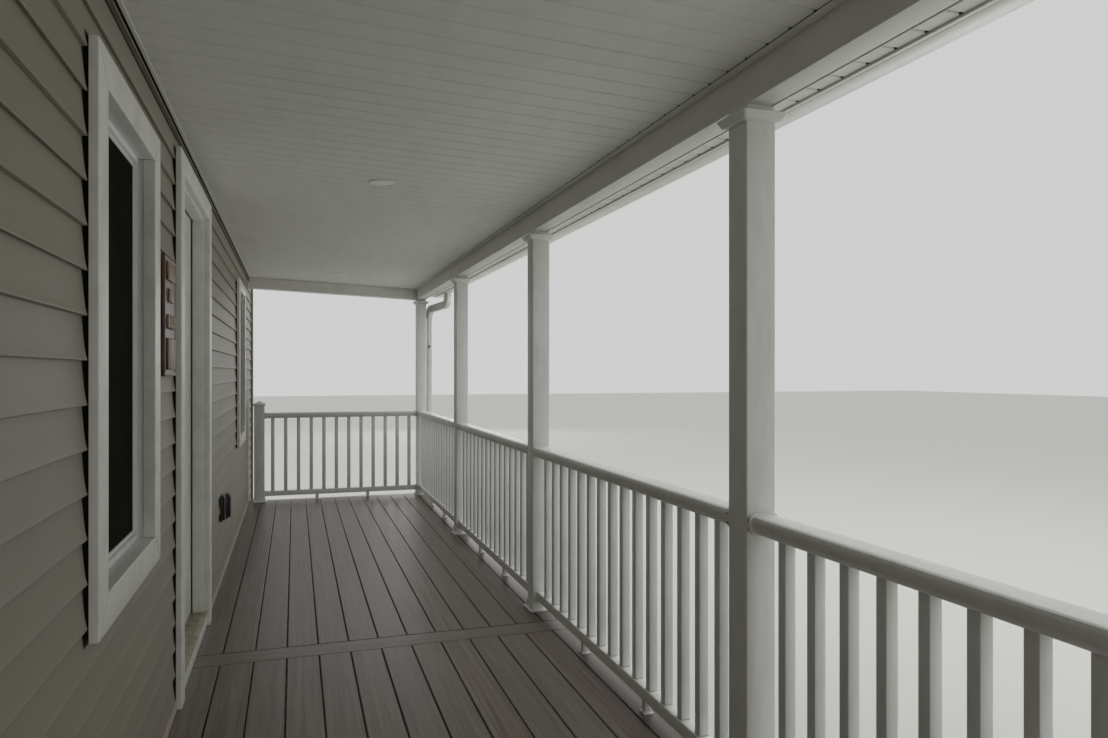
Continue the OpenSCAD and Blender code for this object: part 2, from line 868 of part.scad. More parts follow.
module beam_far() { end_beam(gable_x - beam_w / 2); }
module beam_near() { end_beam(beam_w / 2 - gable_x); }

ceiling_half = gable_x - beam_w;
groove_w = 5;

// Panels with a groove across the porch at each step
module ceiling() {
    n = floor(ceiling_half / groove_pitch);
    color(white) difference() {
        sloped(-ceiling_half, ceiling_half, post_in_y, sheath_y, 0, panel_t);
        for (i = [-n:n])
            sloped(i * groove_pitch - groove_w / 2, i * groove_pitch + groove_w / 2,
                post_in_y + edge_trim_w, siding_y - edge_trim_w, -eps, 5);
    }
}

// Room between the sloped ceiling and what is fixed to it
slope_gap = 0.2;

module ceiling_trim() {
    color(white) difference() {
        sloped(-ceiling_half, ceiling_half, post_in_y, siding_y, -edge_trim_t, -slope_gap);
        sloped(-ceiling_half + edge_trim_w, ceiling_half - edge_trim_w, post_in_y + edge_trim_w,
            siding_y - edge_trim_w, -edge_trim_t - eps, eps);
    }
}

light_y = (post_in_y + siding_y) / 2;

module ceiling_lights() {
    color(white) for (i = [-1, 0, 1]) translate([i * light_pitch - 10, light_y, ceiling_under_z(light_y)])
        rotate([atan(ceiling_slope), 0, 0]) translate([0, 0, -6 - slope_gap]) difference() {
            cylinder(d = light_d, h = 6);
            translate([0, 0, -eps]) cylinder(d = light_d - 34, h = 4);
        }
}

// Eave

module soffit() {
    n = floor(gable_x / groove_pitch);
    color(white) difference() {
        box(-gable_x, gable_x, fascia_y + fascia_t, beam_out_y, soffit_z, soffit_z + panel_t);
        for (i = [-n:n])
            box(i * groove_pitch - groove_w / 2, i * groove_pitch + groove_w / 2,
                fascia_y, beam_out_y + eps, soffit_z - eps, soffit_z + 5);
    }
}

module fascia() {
    color(white)
        along_x(-roof_half, roof_half)
            polygon([[fascia_y, fascia_z], [fascia_y + fascia_t, fascia_z],
                     [fascia_y + fascia_t, roof_under_z(fascia_y + fascia_t)],
                     [fascia_y, roof_under_z(fascia_y)]]);
}

gutter_z = fascia_z + 4;

// Points down the curved front of the gutter, from its foot to its lip
function gutter_front(g) = [
    [-gutter_foot + g, g], [-gutter_foot + g, 14],
    for (a = [0:15:90]) [-gutter_foot - (gutter_w - gutter_foot) * sin(a) + g, 14 + (gutter_h - 34) * (1 - cos(a))],
    [-gutter_w + g, gutter_h]
];

module gutter_shell() {
    polygon(concat([[0, gutter_h], [0, 0]], [[-gutter_foot, 0]], gutter_front(0)));
}

outlet_in = 374;
outlet_x = corner_x - outlet_in;

module gutter() {
    color(white) difference() {
        along_x(-roof_half, roof_half) translate([fascia_y, gutter_z]) difference() {
            polygon(concat([[0, gutter_h], [0, 0]], gutter_front(0)));
            polygon(concat([[-gutter_t, gutter_h + eps], [-gutter_t, gutter_t]],
                [for (p = gutter_front(gutter_t)) [p[0], p[1] >= gutter_h ? gutter_h + eps : max(gutter_t, p[1])]]));
        }
        translate([outlet_x, fascia_y - gutter_foot / 2, gutter_z - eps]) cylinder(d = 50, h = gutter_t + 2 * eps);
    }
    color(white) for (s = [-1, 1]) {
        x0 = s > 0 ? roof_half : -roof_half - gutter_t;
        along_x(x0, x0 + gutter_t) translate([fascia_y, gutter_z])
            polygon(concat([[0, gutter_h], [0, 0]], gutter_front(0)));
    }
}

spout_clear = 10;
low_strap = 500;
high_strap = 1600;
strap_h = 25;
spout_y = skirt_y - spout_clear - spout_d / 2;
outlet_y = fascia_y - gutter_foot / 2;
elbow_a = 85;
elbow_r = 70;
sleeve_t = 1.2;
sleeve_lap = 3;
outlet_len = 50;
twist_len = 40;
elbow_top_z = gutter_z - outlet_len;
offset_run = norm([corner_x - outlet_x, spout_y - outlet_y]);
offset_turn = atan2(spout_y - outlet_y, corner_x - outlet_x);
leg_run = offset_run - 2 * elbow_r * (1 - cos(elbow_a));
leg_len = leg_run / sin(elbow_a);
offset_drop = 2 * elbow_r * sin(elbow_a) + leg_len * cos(elbow_a);
elbow_foot_z = elbow_top_z - offset_drop;

module spout_section(g) {
    translate([-spout_w / 2 - g, -spout_d / 2 - g]) square([spout_w + 2 * g, spout_d + 2 * g]);
}

// A bend that turns from straight down towards +X by elbow_a, wide enough to sleeve the pipes
module elbow() {
    translate([elbow_r, 0, 0]) rotate([-90, 0, 180])
        rotate_extrude(angle = elbow_a) translate([elbow_r, 0]) spout_section(sleeve_t);
}

// Outlet and two bends with a leg between them, seen along the way they lead
module spout_offset() {
    translate([0, 0, -sleeve_lap]) linear_extrude(outlet_len + sleeve_lap) spout_section(0);
    elbow();
    translate([elbow_r * (1 - cos(elbow_a)), 0, -elbow_r * sin(elbow_a)])
        rotate([0, 180 - elbow_a, 0]) translate([0, 0, -sleeve_lap])
            linear_extrude(leg_len + 2 * sleeve_lap) spout_section(0);
    translate([offset_run, 0, -offset_drop]) rotate([0, 0, 180]) mirror([0, 0, 1]) elbow();
}

// The short length that twists from the offset's direction to the long leg's
module spout_twist() {
    hull() {
        translate([corner_x, spout_y, elbow_foot_z]) rotate([0, 0, offset_turn])
            linear_extrude(sleeve_lap) spout_section(0);
        translate([corner_x, spout_y, elbow_foot_z - twist_len]) linear_extrude(1) spout_section(0);
    }
}

// The offset, the long leg and the straps that hold it to the corner post
module downspout() {
    color(white) {
        translate([outlet_x, outlet_y, elbow_top_z]) rotate([0, 0, offset_turn]) spout_offset();
        spout_twist();
        translate([corner_x, spout_y, spout_foot_z])
            linear_extrude(elbow_foot_z - twist_len + 1 - spout_foot_z) spout_section(0);
        for (z = [deck_h + low_strap, deck_h + high_strap])
            box(corner_x - spout_w / 2 - 2, corner_x + spout_w / 2 + 2, spout_y - spout_d / 2 - 2,
                post_y - post_w / 2, z, z + strap_h);
    }
}

spout_foot_z = 60;

// Roof

rafter_count = ceil((2 * gable_x - timber_t) / joist_pitch);
ledger_drop = 30;

// Rafters that sit on the beam and hang from a ledger on the wall, with tails that carry the soffit
module rafters() {
    tail_y = fascia_y + fascia_t;
    head_y = sheath_y - timber_t / 2;
    color(timber) {
        along_x(-gable_x, gable_x)
            polygon([for (p = [[timber_t, 0], [0, 0], [0, 1], [timber_t, 1]])
                [sheath_y - p[0], roof_under_z(sheath_y - p[0]) - p[1] * (rafter_h + ledger_drop)]]);
        for (i = [0:rafter_count]) {
            x = min(-gable_x + i * joist_pitch, gable_x - timber_t);
            along_x(x, x + timber_t)
                polygon([[tail_y, roof_under_z(tail_y)], [head_y, roof_under_z(head_y)],
                         [head_y, roof_under_z(head_y) - rafter_h], [post_in_y, rafter_seat_z],
                         [beam_out_y, rafter_seat_z], [beam_out_y, soffit_z + panel_t],
                         [tail_y, soffit_z + panel_t]]);
        }
    }
}

module gable_ends() {
    y0 = fascia_y + fascia_t;
    y1 = sheath_y;
    wall_z = ceiling_under_z(siding_y);
    color(white) for (s = [-1, 1]) {
        x0 = s > 0 ? gable_x : -gable_x - gable_t;
        along_x(x0, x0 + gable_t)
            polygon([[y0, soffit_z], [y0, roof_under_z(y0)], [y1, roof_under_z(y1)],
                     [y1, wall_z], [siding_y, wall_z], [siding_y, wall_z + beam_z - ceiling_z],
                     [post_in_y, beam_z], [beam_out_y, beam_z],
                     [beam_out_y, soffit_z]]);
    }
}

module roof() {
    y0 = fascia_y - 20;
    color([0.30, 0.29, 0.28])
        along_x(-roof_half, roof_half)
            polygon([[y0, roof_under_z(y0)], [sheath_y, roof_under_z(sheath_y)],
                     [sheath_y, roof_under_z(sheath_y) + roof_t], [y0, roof_under_z(y0) + roof_t]]);
}

flashing_t = 2;
flashing_out = 102;

module roof_flashing() {
    z = roof_under_z(sheath_y) + roof_t;
    fold_y = sheath_y - flashing_t;
    edge_y = sheath_y - flashing_out;
    color([0.5, 0.5, 0.5])
        along_x(-roof_half, roof_half)
            polygon([[sheath_y, z], [sheath_y, upper_siding_z], [fold_y, upper_siding_z],
                     [fold_y, z + flashing_t * roof_slope + flashing_t],
                     [edge_y, z - (flashing_out - flashing_t) * roof_slope + flashing_t],
                     [edge_y, z - flashing_out * roof_slope]]);
}

// Steps

stair_x0 = -corner_x + post_w / 2 + 20;
stair_x1 = stair_post_x - post_w / 2 - 20;
riser_h = deck_h / risers;
tread_t = board_t;
stair_y = skirt_y;
tread_over = 25;

module stair_side(x) {
    along_x(x, x + stringer_t)
        polygon(concat(
            [[stair_y, 0], [stair_y, riser_h * (risers - 1) - tread_t]],
            [for (i = [1:risers - 1]) each [
                [stair_y - i * tread_run, riser_h * (risers - i) - tread_t],
                [stair_y - i * tread_run, riser_h * (risers - i - 1) - (i < risers - 1 ? tread_t : 0)]
            ]]
        ));
}

module stair_sides() {
    color(white) for (x = [stair_x0, (stair_x0 + stair_x1 - stringer_t) / 2, stair_x1 - stringer_t])
        stair_side(x);
}

module stair_treads() {
    color(board_brown) for (i = [1:risers - 1], j = [0, 1]) {
        w = (tread_run + tread_over - board_gap) / 2;
        y0 = stair_y - i * tread_run - tread_over + j * (w + board_gap);
        box(stair_x0 - 15, stair_x1 + 15, y0, y0 + w, riser_h * (risers - i) - tread_t, riser_h * (risers - i));
    }
}

riser_t = 12;

module stair_risers() {
    color(white) for (i = [1:risers - 1]) {
        y0 = stair_y - i * tread_run;
        box(stair_x0, stair_x1, y0 - riser_t, y0, riser_h * (risers - i - 1), riser_h * (risers - i) - tread_t);
    }
}

foundation();
house_rim();
wall_near();
wall_far();
wall_over_door();
siding();
corner_boards();
base_strip();
window_casings();
window_frames();
window_screens();
window_sashes();
window_glass();
door_casing();
door_frame();
door_sill();
sill_board();
door_leaf();
door_knob();
door_hinges();
plaque();
outlet_covers();
deck_boards_near();
deck_boards_far();
breaker_board();
deck_frame();
skirt_boards();
piers();
posts();
post_heads();
post_feet();
wall_newels();
front_rail_1();
front_rail_2();
front_rail_3();
front_rail_4();
far_rail();
near_rail();
beam_front();
beam_far();
beam_near();
ceiling();
ceiling_trim();
ceiling_lights();
soffit();
fascia();
gutter();
downspout();
rafters();
gable_ends();
roof();
roof_flashing();
stair_sides();
stair_treads();
stair_risers();
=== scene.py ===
"""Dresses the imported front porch: finishes, detailed pieces, stage, lights and camera."""

import json
import logging
import math
from contextlib import contextmanager
from dataclasses import dataclass
from enum import Enum
from typing import Callable, Iterable, Iterator, Sequence, Union

import bmesh
import bpy
from mathutils import Matrix, Vector
from mathutils.kdtree import KDTree

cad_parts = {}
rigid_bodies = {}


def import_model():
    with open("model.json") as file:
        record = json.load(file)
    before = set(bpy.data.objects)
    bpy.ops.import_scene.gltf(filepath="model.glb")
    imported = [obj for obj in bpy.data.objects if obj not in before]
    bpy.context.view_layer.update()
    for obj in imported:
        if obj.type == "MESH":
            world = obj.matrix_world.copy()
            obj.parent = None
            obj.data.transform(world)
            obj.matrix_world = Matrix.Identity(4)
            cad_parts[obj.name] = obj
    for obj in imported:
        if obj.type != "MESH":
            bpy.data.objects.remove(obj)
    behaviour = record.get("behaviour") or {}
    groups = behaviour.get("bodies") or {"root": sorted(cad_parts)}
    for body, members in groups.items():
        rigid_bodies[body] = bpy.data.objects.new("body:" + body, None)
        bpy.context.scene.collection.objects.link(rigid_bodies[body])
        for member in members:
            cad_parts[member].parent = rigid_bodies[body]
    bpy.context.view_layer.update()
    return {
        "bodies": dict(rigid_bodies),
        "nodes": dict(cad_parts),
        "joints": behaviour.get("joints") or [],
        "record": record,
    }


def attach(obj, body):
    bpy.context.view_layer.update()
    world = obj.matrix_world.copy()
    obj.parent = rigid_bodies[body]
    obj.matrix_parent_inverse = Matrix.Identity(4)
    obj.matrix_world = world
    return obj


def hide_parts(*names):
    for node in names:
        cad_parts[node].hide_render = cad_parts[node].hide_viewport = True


LOG = logging.getLogger("front_porch")

Point = tuple[float, float, float]
Flat = tuple[float, float]
Outline = Sequence[Flat]
Rect = tuple[float, float, float, float]
Piece = bpy.types.Object
Socket = bpy.types.NodeSocket
Value = Union[Socket, float, int, Sequence[float]]
Tint = Union[Socket, str]


def srgb(code: str) -> tuple[float, float, float, float]:
    """Turns an sRGB hex colour, rrggbb, into the linear colour that a shader socket holds."""
    parts = [int(code[i:i + 2], 16) / 255.0 for i in (0, 2, 4)]
    red, green, blue = (c / 12.92 if c <= 0.04045 else ((c + 0.055) / 1.055) ** 2.4 for c in parts)
    return red, green, blue, 1.0


class Body(Enum):
    """The two bodies of the part: what stands still, and the door that swings."""

    PORCH = "porch"
    DOOR = "door"


class Grain(Enum):
    """The way that a board's grain runs."""

    ALONG_X = (1, 0, 0)
    ALONG_Y = (0, 1, 0)
    ALONG_Z = (0, 0, 1)

    def stretch(self, along: float, across: float) -> Point:
        """Gives the pattern's scale on each axis, in repeats a metre."""
        return tuple(along if part else across for part in self.value)


# Finishes

class Shading:
    """A node tree in the making, a material's or the world's, with the coordinates that its patterns use."""

    def __init__(self, owner: Union[bpy.types.Material, bpy.types.World], coordinates: str = "Object") -> None:
        """Empties the owner's node tree and adds the coordinates."""
        owner.use_nodes = True
        self.tree = owner.node_tree
        self.tree.nodes.clear()
        self.place = self.add("TexCoord").outputs[coordinates]

    def add(self, kind: str, sockets: Union[dict[Union[str, int], Value], None] = None,
            **settings: object) -> bpy.types.Node:
        """Adds one shader node.

        Args:
            kind: The node's type, without the prefix that all of them share.
            sockets: The value, or the other node's output, that goes into each input named.
            **settings: The node's own properties.

        Returns:
            The node.
        """
        node = self.tree.nodes.new("ShaderNode" + kind)
        for key, value in settings.items():
            setattr(node, key, value)
        for key, value in (sockets or {}).items():
            if isinstance(value, Socket):
                self.tree.links.new(value, node.inputs[key])
            else:
                node.inputs[key].default_value = value
        return node

    def axis(self, name: str) -> Socket:
        """Gives one of the coordinates, X, Y or Z."""
        return self.add("SeparateXYZ", {0: self.place}).outputs[name]

    def noise(self, scale: Union[float, Point], detail: float = 2.0, rough: float = 0.5, warp: float = 0.0,
              place: Union[Socket, None] = None) -> Socket:
        """Gives a noise pattern.

        Args:
            scale: Repeats a metre, one number for all axes or one for each.
            detail: How many finer layers it has.
            rough: How strong the finer layers are.
            warp: How far it is distorted.
            place: The coordinates, the object's own if left out.

        Returns:
            The pattern, about 0.2 to 0.8.
        """
        place = place or self.place
        if isinstance(scale, tuple):
            place = self.add("Mapping", {"Vector": place, "Scale": scale}).outputs[0]
            scale = 1.0
        return self.add("TexNoise", {"Vector": place, "Scale": scale, "Detail": detail, "Roughness": rough,
                                     "Distortion": warp}).outputs["Fac"]

    def cells(self, scale: float) -> bpy.types.Node:
        """Adds a cell pattern with a number of repeats a metre."""
        return self.add("TexVoronoi", {"Vector": self.place, "Scale": scale})

    def span(self, value: Socket, low: float = 0.0, high: float = 1.0, to_low: float = 0.0, to_high: float = 1.0
             ) -> Socket:
        """Turns the range low to high of a value into to_low to to_high."""
        return self.add("MapRange", {"Value": value, "From Min": low, "From Max": high, "To Min": to_low,
                                     "To Max": to_high}).outputs[0]

    def math(self, operation: str, *values: Value, **settings: object) -> Socket:
        """Works out one operation on values."""
        return self.add("Math", dict(enumerate(values)), operation=operation, **settings).outputs[0]

    def mix(self, amount: Socket, first: Tint, second: Tint) -> Socket:
        """Mixes two colours, each a socket or a hex code."""
        tints = (srgb(tint) if isinstance(tint, str) else tint for tint in (first, second))
        return self.add("Mix", {0: amount, **dict(zip((6, 7), tints))}, data_type="RGBA").outputs[2]

    def finish(self, base: Socket, rough: Value, relief: Union[tuple[Socket, float, float], None] = None,
               **others: float) -> None:
        """Adds the material's Principled shader and its output.

        Args:
            base: The colour.
            rough: The roughness.
            relief: The height pattern, its strength and its depth in metres.
            **others: Other inputs by name, with a low line for each space.
        """
        sockets = {"Base Color": base, "Roughness": rough}
        sockets.update({key.replace("_", " "): value for key, value in others.items()})
        if relief:
            bump = self.add("Bump", dict(zip(("Height", "Strength", "Distance"), relief)))
            sockets["Normal"] = bump.outputs[0]
        self.add("OutputMaterial", {"Surface": self.add("BsdfPrincipled", sockets).outputs[0]})


@dataclass(frozen=True)
class Finish:
    """What every finish has: a name, a main colour and a roughness."""

    name: str
    colour: str
    roughness: float

    def build(self) -> bpy.types.Material:
        """Makes the material."""
        material = bpy.data.materials.new(self.name)
        self.draw(Shading(material))
        return material

    def draw(self, s: Shading) -> None:
        """Draws the finish on an empty tree. Each kind of finish has its own way."""
        raise NotImplementedError


@dataclass(frozen=True)
class ExtrudedVinyl(Finish):
    """Rigid PVC from an extruder: a smooth satin skin, hazed a little by weather and handling."""

    haze: str = "c3c4bd"

    def draw(self, s: Shading) -> None:
        """Draws clouds of haze and smears that run down."""
        clouds = s.noise(5.0, 5.0, 0.6)
        soil = s.math("MULTIPLY", clouds, s.noise((38.0, 38.0, 7.0), 6.0))
        base = s.mix(s.span(soil, 0.20, 0.42, 0.0, 0.30), self.colour, self.haze)
        rough = s.span(clouds, 0.0, 1.0, self.roughness - 0.06, self.roughness + 0.10)
        # The extruder leaves a skin with a ripple of about 2 mm, too shallow to see but in a highlight.
        s.finish(base, rough, (s.noise(450.0), 0.12, 0.0004), IOR=1.53)


@dataclass(frozen=True)
class EmbossedVinyl(Finish):
    """Siding vinyl: a low sheen over a pressed wood grain that runs along the course."""

    shade: str = "7f766a"
    course: float = 0.1016
    course_foot: float = 0.610

    def draw(self, s: Shading) -> None:
        """Draws the siding with a random darker tone, and painted shade near the head of each course, under the lap
        above.
        """
        tone = s.span(s.noise((0.6, 0.6, 2.5), 4.0), 0.3, 0.7, 0.0, 0.35)
        rows = s.math("DIVIDE", s.math("SUBTRACT", s.axis("Z"), self.course_foot), self.course)
        # Painted shade: darker over the top 28 per cent of each course, where the next course's butt overhangs.
        under_lap_shade = s.span(s.math("FRACT", rows), 0.72, 1.0, 0.0, 0.30)
        base = s.mix(s.math("ADD", tone, under_lap_shade), self.colour, self.shade)
        # Pressed grain: lines about 3 mm apart and a hand long.
        grain = s.noise((7.0, 300.0, 300.0), 3.0, warp=0.4)
        s.finish(base, self.roughness, (grain, 0.35, 0.0006), IOR=1.53)


@dataclass(frozen=True)
class CompositeBoard(Finish):
    """Capped composite decking: wood flour and plastic, streaked by the extruder, with a brushed grain."""

    light: str = "8b7f77"
    grey: str = "77716c"
    pitch: float = 0.145
    start: float = 0.0
    grain: Grain = Grain.ALONG_X

    def draw(self, s: Shading) -> None:
        """Draws the deck, each board with its own tone and its streaks along it."""
        across = s.axis("X" if self.grain is Grain.ALONG_Y else "Y")
        board = s.math("FLOOR", s.math("DIVIDE", s.math("SUBTRACT", across, self.start), self.pitch))
        dice = s.add("TexWhiteNoise", {"W": board}, noise_dimensions="1D")
        jump = s.add("VectorMath", {0: s.place, 1: dice.outputs["Color"]}, operation="ADD").outputs[0]
        streaks = s.noise(self.grain.stretch(1.1, 42.0), 6.0, 0.62, 0.6, jump)
        fine = s.noise(self.grain.stretch(4.0, 330.0), 4.0, 0.7, place=jump)
        body = s.mix(s.span(streaks, 0.32, 0.70), self.colour, self.light)
        toned = s.mix(s.span(dice.outputs["Value"], 0.0, 1.0, 0.0, 0.55), body, self.grey)
        base = s.add("VectorMath", {0: toned, "Scale": s.span(fine, 0.30, 0.62, 0.70, 1.06)}, operation="SCALE")
        rough = s.span(streaks, 0.0, 1.0, self.roughness - 0.08, self.roughness + 0.10)
        # The brush cuts lines about 3 mm apart.
        s.finish(base.outputs[0], rough, (fine, 0.30, 0.0005), IOR=1.49)


@dataclass(frozen=True)
class BentCoil(Finish):
    """Painted aluminium coil bent round timber: smooth enamel over metal that is never quite flat."""

    dust: str = "b9bab2"

    def draw(self, s: Shading) -> None:
        """Draws the enamel, with the slow waves of thin metal and a little dust."""
        base = s.mix(s.span(s.noise((3.0, 12.0, 12.0), 6.0), 0.42, 0.75, 0.0, 0.35), self.colour, self.dust)
        # Waves about 300 mm long and under a millimetre deep.
        waves = s.noise((3.2, 5.0, 5.0), 1.0)
        s.finish(base, self.roughness, (waves, 0.30, 0.004), IOR=1.5)


@dataclass(frozen=True)
class TrimBoard(Finish):
    """White trim board, cut and nailed: an even paint film with specks of dirt."""

    dirt: str = "9a9a8c"
    grain: Grain = Grain.ALONG_Z

    def draw(self, s: Shading) -> None:
        """Draws the board, with a faint grain under the film and a few dark specks."""
        dots = s.span(s.cells(34.0).outputs["Distance"], 0.03, 0.06, 0.55, 0.0)
        film = s.span(s.noise(9.0, 7.0, 0.65), 0.45, 0.78, 0.0, 0.35)
        base = s.mix(s.math("ADD", dots, film, use_clamp=True), self.colour, self.dirt)
        grain = s.noise(self.grain.stretch(6.0, 240.0), 3.0)
        s.finish(base, self.roughness, (grain, 0.10, 0.0005), IOR=1.5)


@dataclass(frozen=True)
class WindowGlass(Finish):
    """Float glass in front of an unlit room: black, sharp in reflection, with a film of dust."""

    dust: str = "2c2f2d"

    def draw(self, s: Shading) -> None:
        """Draws the pane, duller where dust lies."""
        film = s.noise(6.0, 8.0, 0.7)
        base = s.mix(s.span(film, 0.45, 0.8, 0.0, 0.35), self.colour, self.dust)
        s.finish(base, s.span(film, 0.4, 0.8, self.roughness, self.roughness + 0.10), IOR=1.52)


@dataclass(frozen=True)
class SawnTimber(Finish):
    """Pressure-treated softwood: yellow-green, with growth lines along the piece and saw marks across it."""

    dark: str = "8a7148"
    grain: Grain = Grain.ALONG_Y

    def draw(self, s: Shading) -> None:
        """Draws growth lines and saw marks."""
        lines = s.noise(self.grain.stretch(1.4, 60.0), 5.0, warp=1.2)
        base = s.mix(s.span(lines, 0.35, 0.65), self.dark, self.colour)
        relief = s.math("ADD", lines, s.noise(self.grain.stretch(260.0, 12.0)))
        s.finish(base, self.roughness, (relief, 0.4, 0.001))


@dataclass(frozen=True)
class StainedBoard(Finish):
    """Softwood under a dark stain that soaks into the early wood and leaves the late wood paler."""

    pale: str = "6a4a33"

    def draw(self, s: Shading) -> None:
        """Draws the stained wood, grain upright."""
        rings = s.noise((70.0, 70.0, 3.0), 6.0, warp=1.6)
        base = s.mix(s.span(rings, 0.38, 0.66), self.colour, self.pale)
        s.finish(base, self.roughness, (rings, 0.4, 0.0008), Coat_Weight=0.15, Coat_Roughness=0.3)


@dataclass(frozen=True)
class CastConcrete(Finish):
    """Concrete cast against forms: pale paste, darker damp patches and small air holes."""

    damp: str = "8f8c82"

    def draw(self, s: Shading) -> None:
        """Draws the concrete, damper towards the ground."""
        low = s.span(s.axis("Z"), 0.0, 0.18, 0.35, 0.0)
        wet = s.math("ADD", s.noise(4.0, 8.0, 0.65), low)
        base = s.mix(s.span(wet, 0.38, 0.85), self.colour, self.damp)
        pits = s.span(s.cells(60.0).outputs["Distance"], 0.05, 0.16)
        relief = s.math("ADD", pits, s.noise(260.0, 4.0))
        s.finish(base, self.roughness, (relief, 0.5, 0.0015))


@dataclass(frozen=True)
class MineralShingle(Finish):
    """Asphalt shingle: crushed stone granules of several greys, with a tone of its own for each tab."""

    dark: str = "2f2d2b"
    tab: float = 0.31087
    exposure: float = 0.14171
    phase: Flat = (15.0, 14.706)

    def draw(self, s: Shading) -> None:
        """Draws the shingle. Granules are drawn at 3 mm, about twice their real size, so that they show."""
        grains = s.cells(330.0)
        # Tabs are counted from the verge and from the eave; every other row starts half a tab on.
        scaled = s.add("Mapping", {"Vector": s.place, "Scale": (1.0 / self.tab, 1.0 / self.exposure, 0.0)})
        count = s.add("VectorMath", {0: scaled.outputs[0], 1: (*self.phase, 0.0)}, operation="ADD").outputs[0]
        row = s.math("FLOOR", s.add("SeparateXYZ", {0: count}).outputs["Y"])
        half = s.add("CombineXYZ", {"X": s.math("MULTIPLY", row, 0.5)}).outputs[0]
        moved = s.add("VectorMath", {0: count, 1: half}, operation="ADD").outputs[0]
        tabs = s.add("TexWhiteNoise", {"Vector": s.add("VectorMath", {0: moved}, operation="FLOOR").outputs[0]})
        grey = s.add("SeparateColor", {0: grains.outputs["Color"]}).outputs[0]
        blend = s.math("MULTIPLY_ADD", grey, 0.6, 0.0)
        base = s.mix(s.math("MULTIPLY_ADD", tabs.outputs["Value"], 0.4, blend), self.dark, self.colour)
        s.finish(base, self.roughness, (grains.outputs["Distance"], 0.6, 0.001))


@dataclass(frozen=True)
class WornMetal(Finish):
    """Plain or plated metal that has been outdoors: scuffed, with duller patches."""

    tarnish: str = "6f6c66"

    def draw(self, s: Shading) -> None:
        """Draws the metal, brushed along X."""
        dull = s.noise(22.0, 7.0, 0.65)
        base = s.mix(s.span(dull, 0.40, 0.75), self.colour, self.tarnish)
        rough = s.span(dull, 0.0, 1.0, self.roughness - 0.08, self.roughness + 0.18)
        brush = s.noise(Grain.ALONG_X.stretch(20.0, 900.0))
        s.finish(base, rough, (brush, 0.15, 0.0003), Metallic=1.0)


@dataclass(frozen=True)
class WovenMesh(Finish):
    """Insect screen: coated black threads a millimetre and a half apart, which swallow the light behind them."""

    thread: str = "2a2a27"
    pitch: float = 0.0016

    def draw(self, s: Shading) -> None:
        """Draws the mesh as one sheet, painted near black between threads as shade of the window behind, with threads
        as a fine check seen close by.
        """
        check = s.add("TexChecker", {"Vector": s.place, "Scale": 1.0 / self.pitch}).outputs["Fac"]
        base = s.mix(s.math("MULTIPLY", check, s.noise(5.0, 6.0)), self.colour, self.thread)
        s.finish(base, self.roughness, Specular_IOR_Level=0.04)


@dataclass(frozen=True)
class MouldedPart(Finish):
    """Moulded plastic or rubber, or black painted shade: one colour through, a fine eggshell grain and some dust."""

    dust: str = "4c4a45"
    settled: float = 0.25

    def draw(self, s: Shading) -> None:
        """Draws dust over the grain."""
        base = s.mix(s.span(s.noise(30.0, 6.0), 0.4, 0.8, 0.0, self.settled), self.colour, self.dust)
        s.finish(base, self.roughness, (s.noise(700.0), 0.25, 0.0004), IOR=1.5)


@dataclass(frozen=True)
class PaintedPlaster(Finish):
    """The room side of the wall: plasterboard under a rolled coat of matt paint."""

    stipple: float = 0.0006
    yellowed: str = "c9c7be"

    def draw(self, s: Shading) -> None:
        """Draws the paint, with the roller's stipple about 3 mm across."""
        base = s.mix(s.span(s.noise(1.5, 4.0), 0.0, 1.0, 0.0, 0.3), self.colour, self.yellowed)
        s.finish(base, self.roughness, (s.noise(320.0), 0.4, self.stipple))


@dataclass(frozen=True)
class MattFloor(Finish):
    """The studio's floor: a matt sheet with a faint, wide veil."""

    def draw(self, s: Shading) -> None:
        """Draws the floor."""
        tone = s.span(s.noise(0.3), to_low=0.98)
        base = s.add("VectorMath", {0: srgb(self.colour)[:3], "Scale": tone}, operation="SCALE")
        s.finish(base.outputs[0], self.roughness)


# Modelling bench

@dataclass(frozen=True)
class Layout:
    """The porch's main places in metres, in the frame that the CAD model uses."""

    deck_z: float = 0.570
    deck_half: float = 4.660
    sheath_y: float = -0.100
    siding_y: float = -0.116
    casing_y: float = -0.134
    post_w: float = 0.099
    post_y: float = -1.8765
    post_xs: tuple[float, ...] = (4.5635, 2.4335, 0.3035, -1.8265, -3.195, -4.5635)
    corner_x: float = 4.5635
    newel_y: float = -0.2155
    beam_z: float = 2.694
    beam_in_y: float = -1.827
    beam_out_y: float = -1.917
    fascia_y: float = -2.064
    gable_x: float = 4.613
    roof_half: float = 4.663
    ceiling_z: float = 2.800
    ceiling_slope: float = 0.042
    soffit_z: float = 2.738
    wall_half: float = 5.110
    wall_top: float = 3.650
    floor_z: float = 0.630
    door_x: float = 0.056
    windows_x: tuple[float, ...] = (-1.451, 3.270)
    window_half: float = 0.425
    window_span: Flat = (1.286, 2.674)
    door_half: float = 0.582
    door_top: float = 2.797
    sill_top: float = 0.652
    siding_foot: float = 0.610
    gable_out: float = 4.633
    roof_in_z: float = 3.3638
    flashing_z: float = 3.4928

    def ceiling_at(self, y: float) -> float:
        """Gives the height of the ceiling's face, which rises towards the wall."""
        return self.ceiling_z + (y - self.beam_in_y) * self.ceiling_slope

    def lean(self) -> Matrix:
        """Gives the matrix that leans a level piece to the ceiling's fall."""
        tilt = Matrix.Identity(4)
        tilt[2][1] = self.ceiling_slope
        tilt[2][3] = -self.beam_in_y * self.ceiling_slope
        return tilt


LAYOUT = Layout()


def rectangle(x0: float, x1: float, y0: float, y1: float) -> list[Flat]:
    """Gives the corners of a rectangle, in order."""
    return [(x0, y0), (x1, y0), (x1, y1), (x0, y1)]


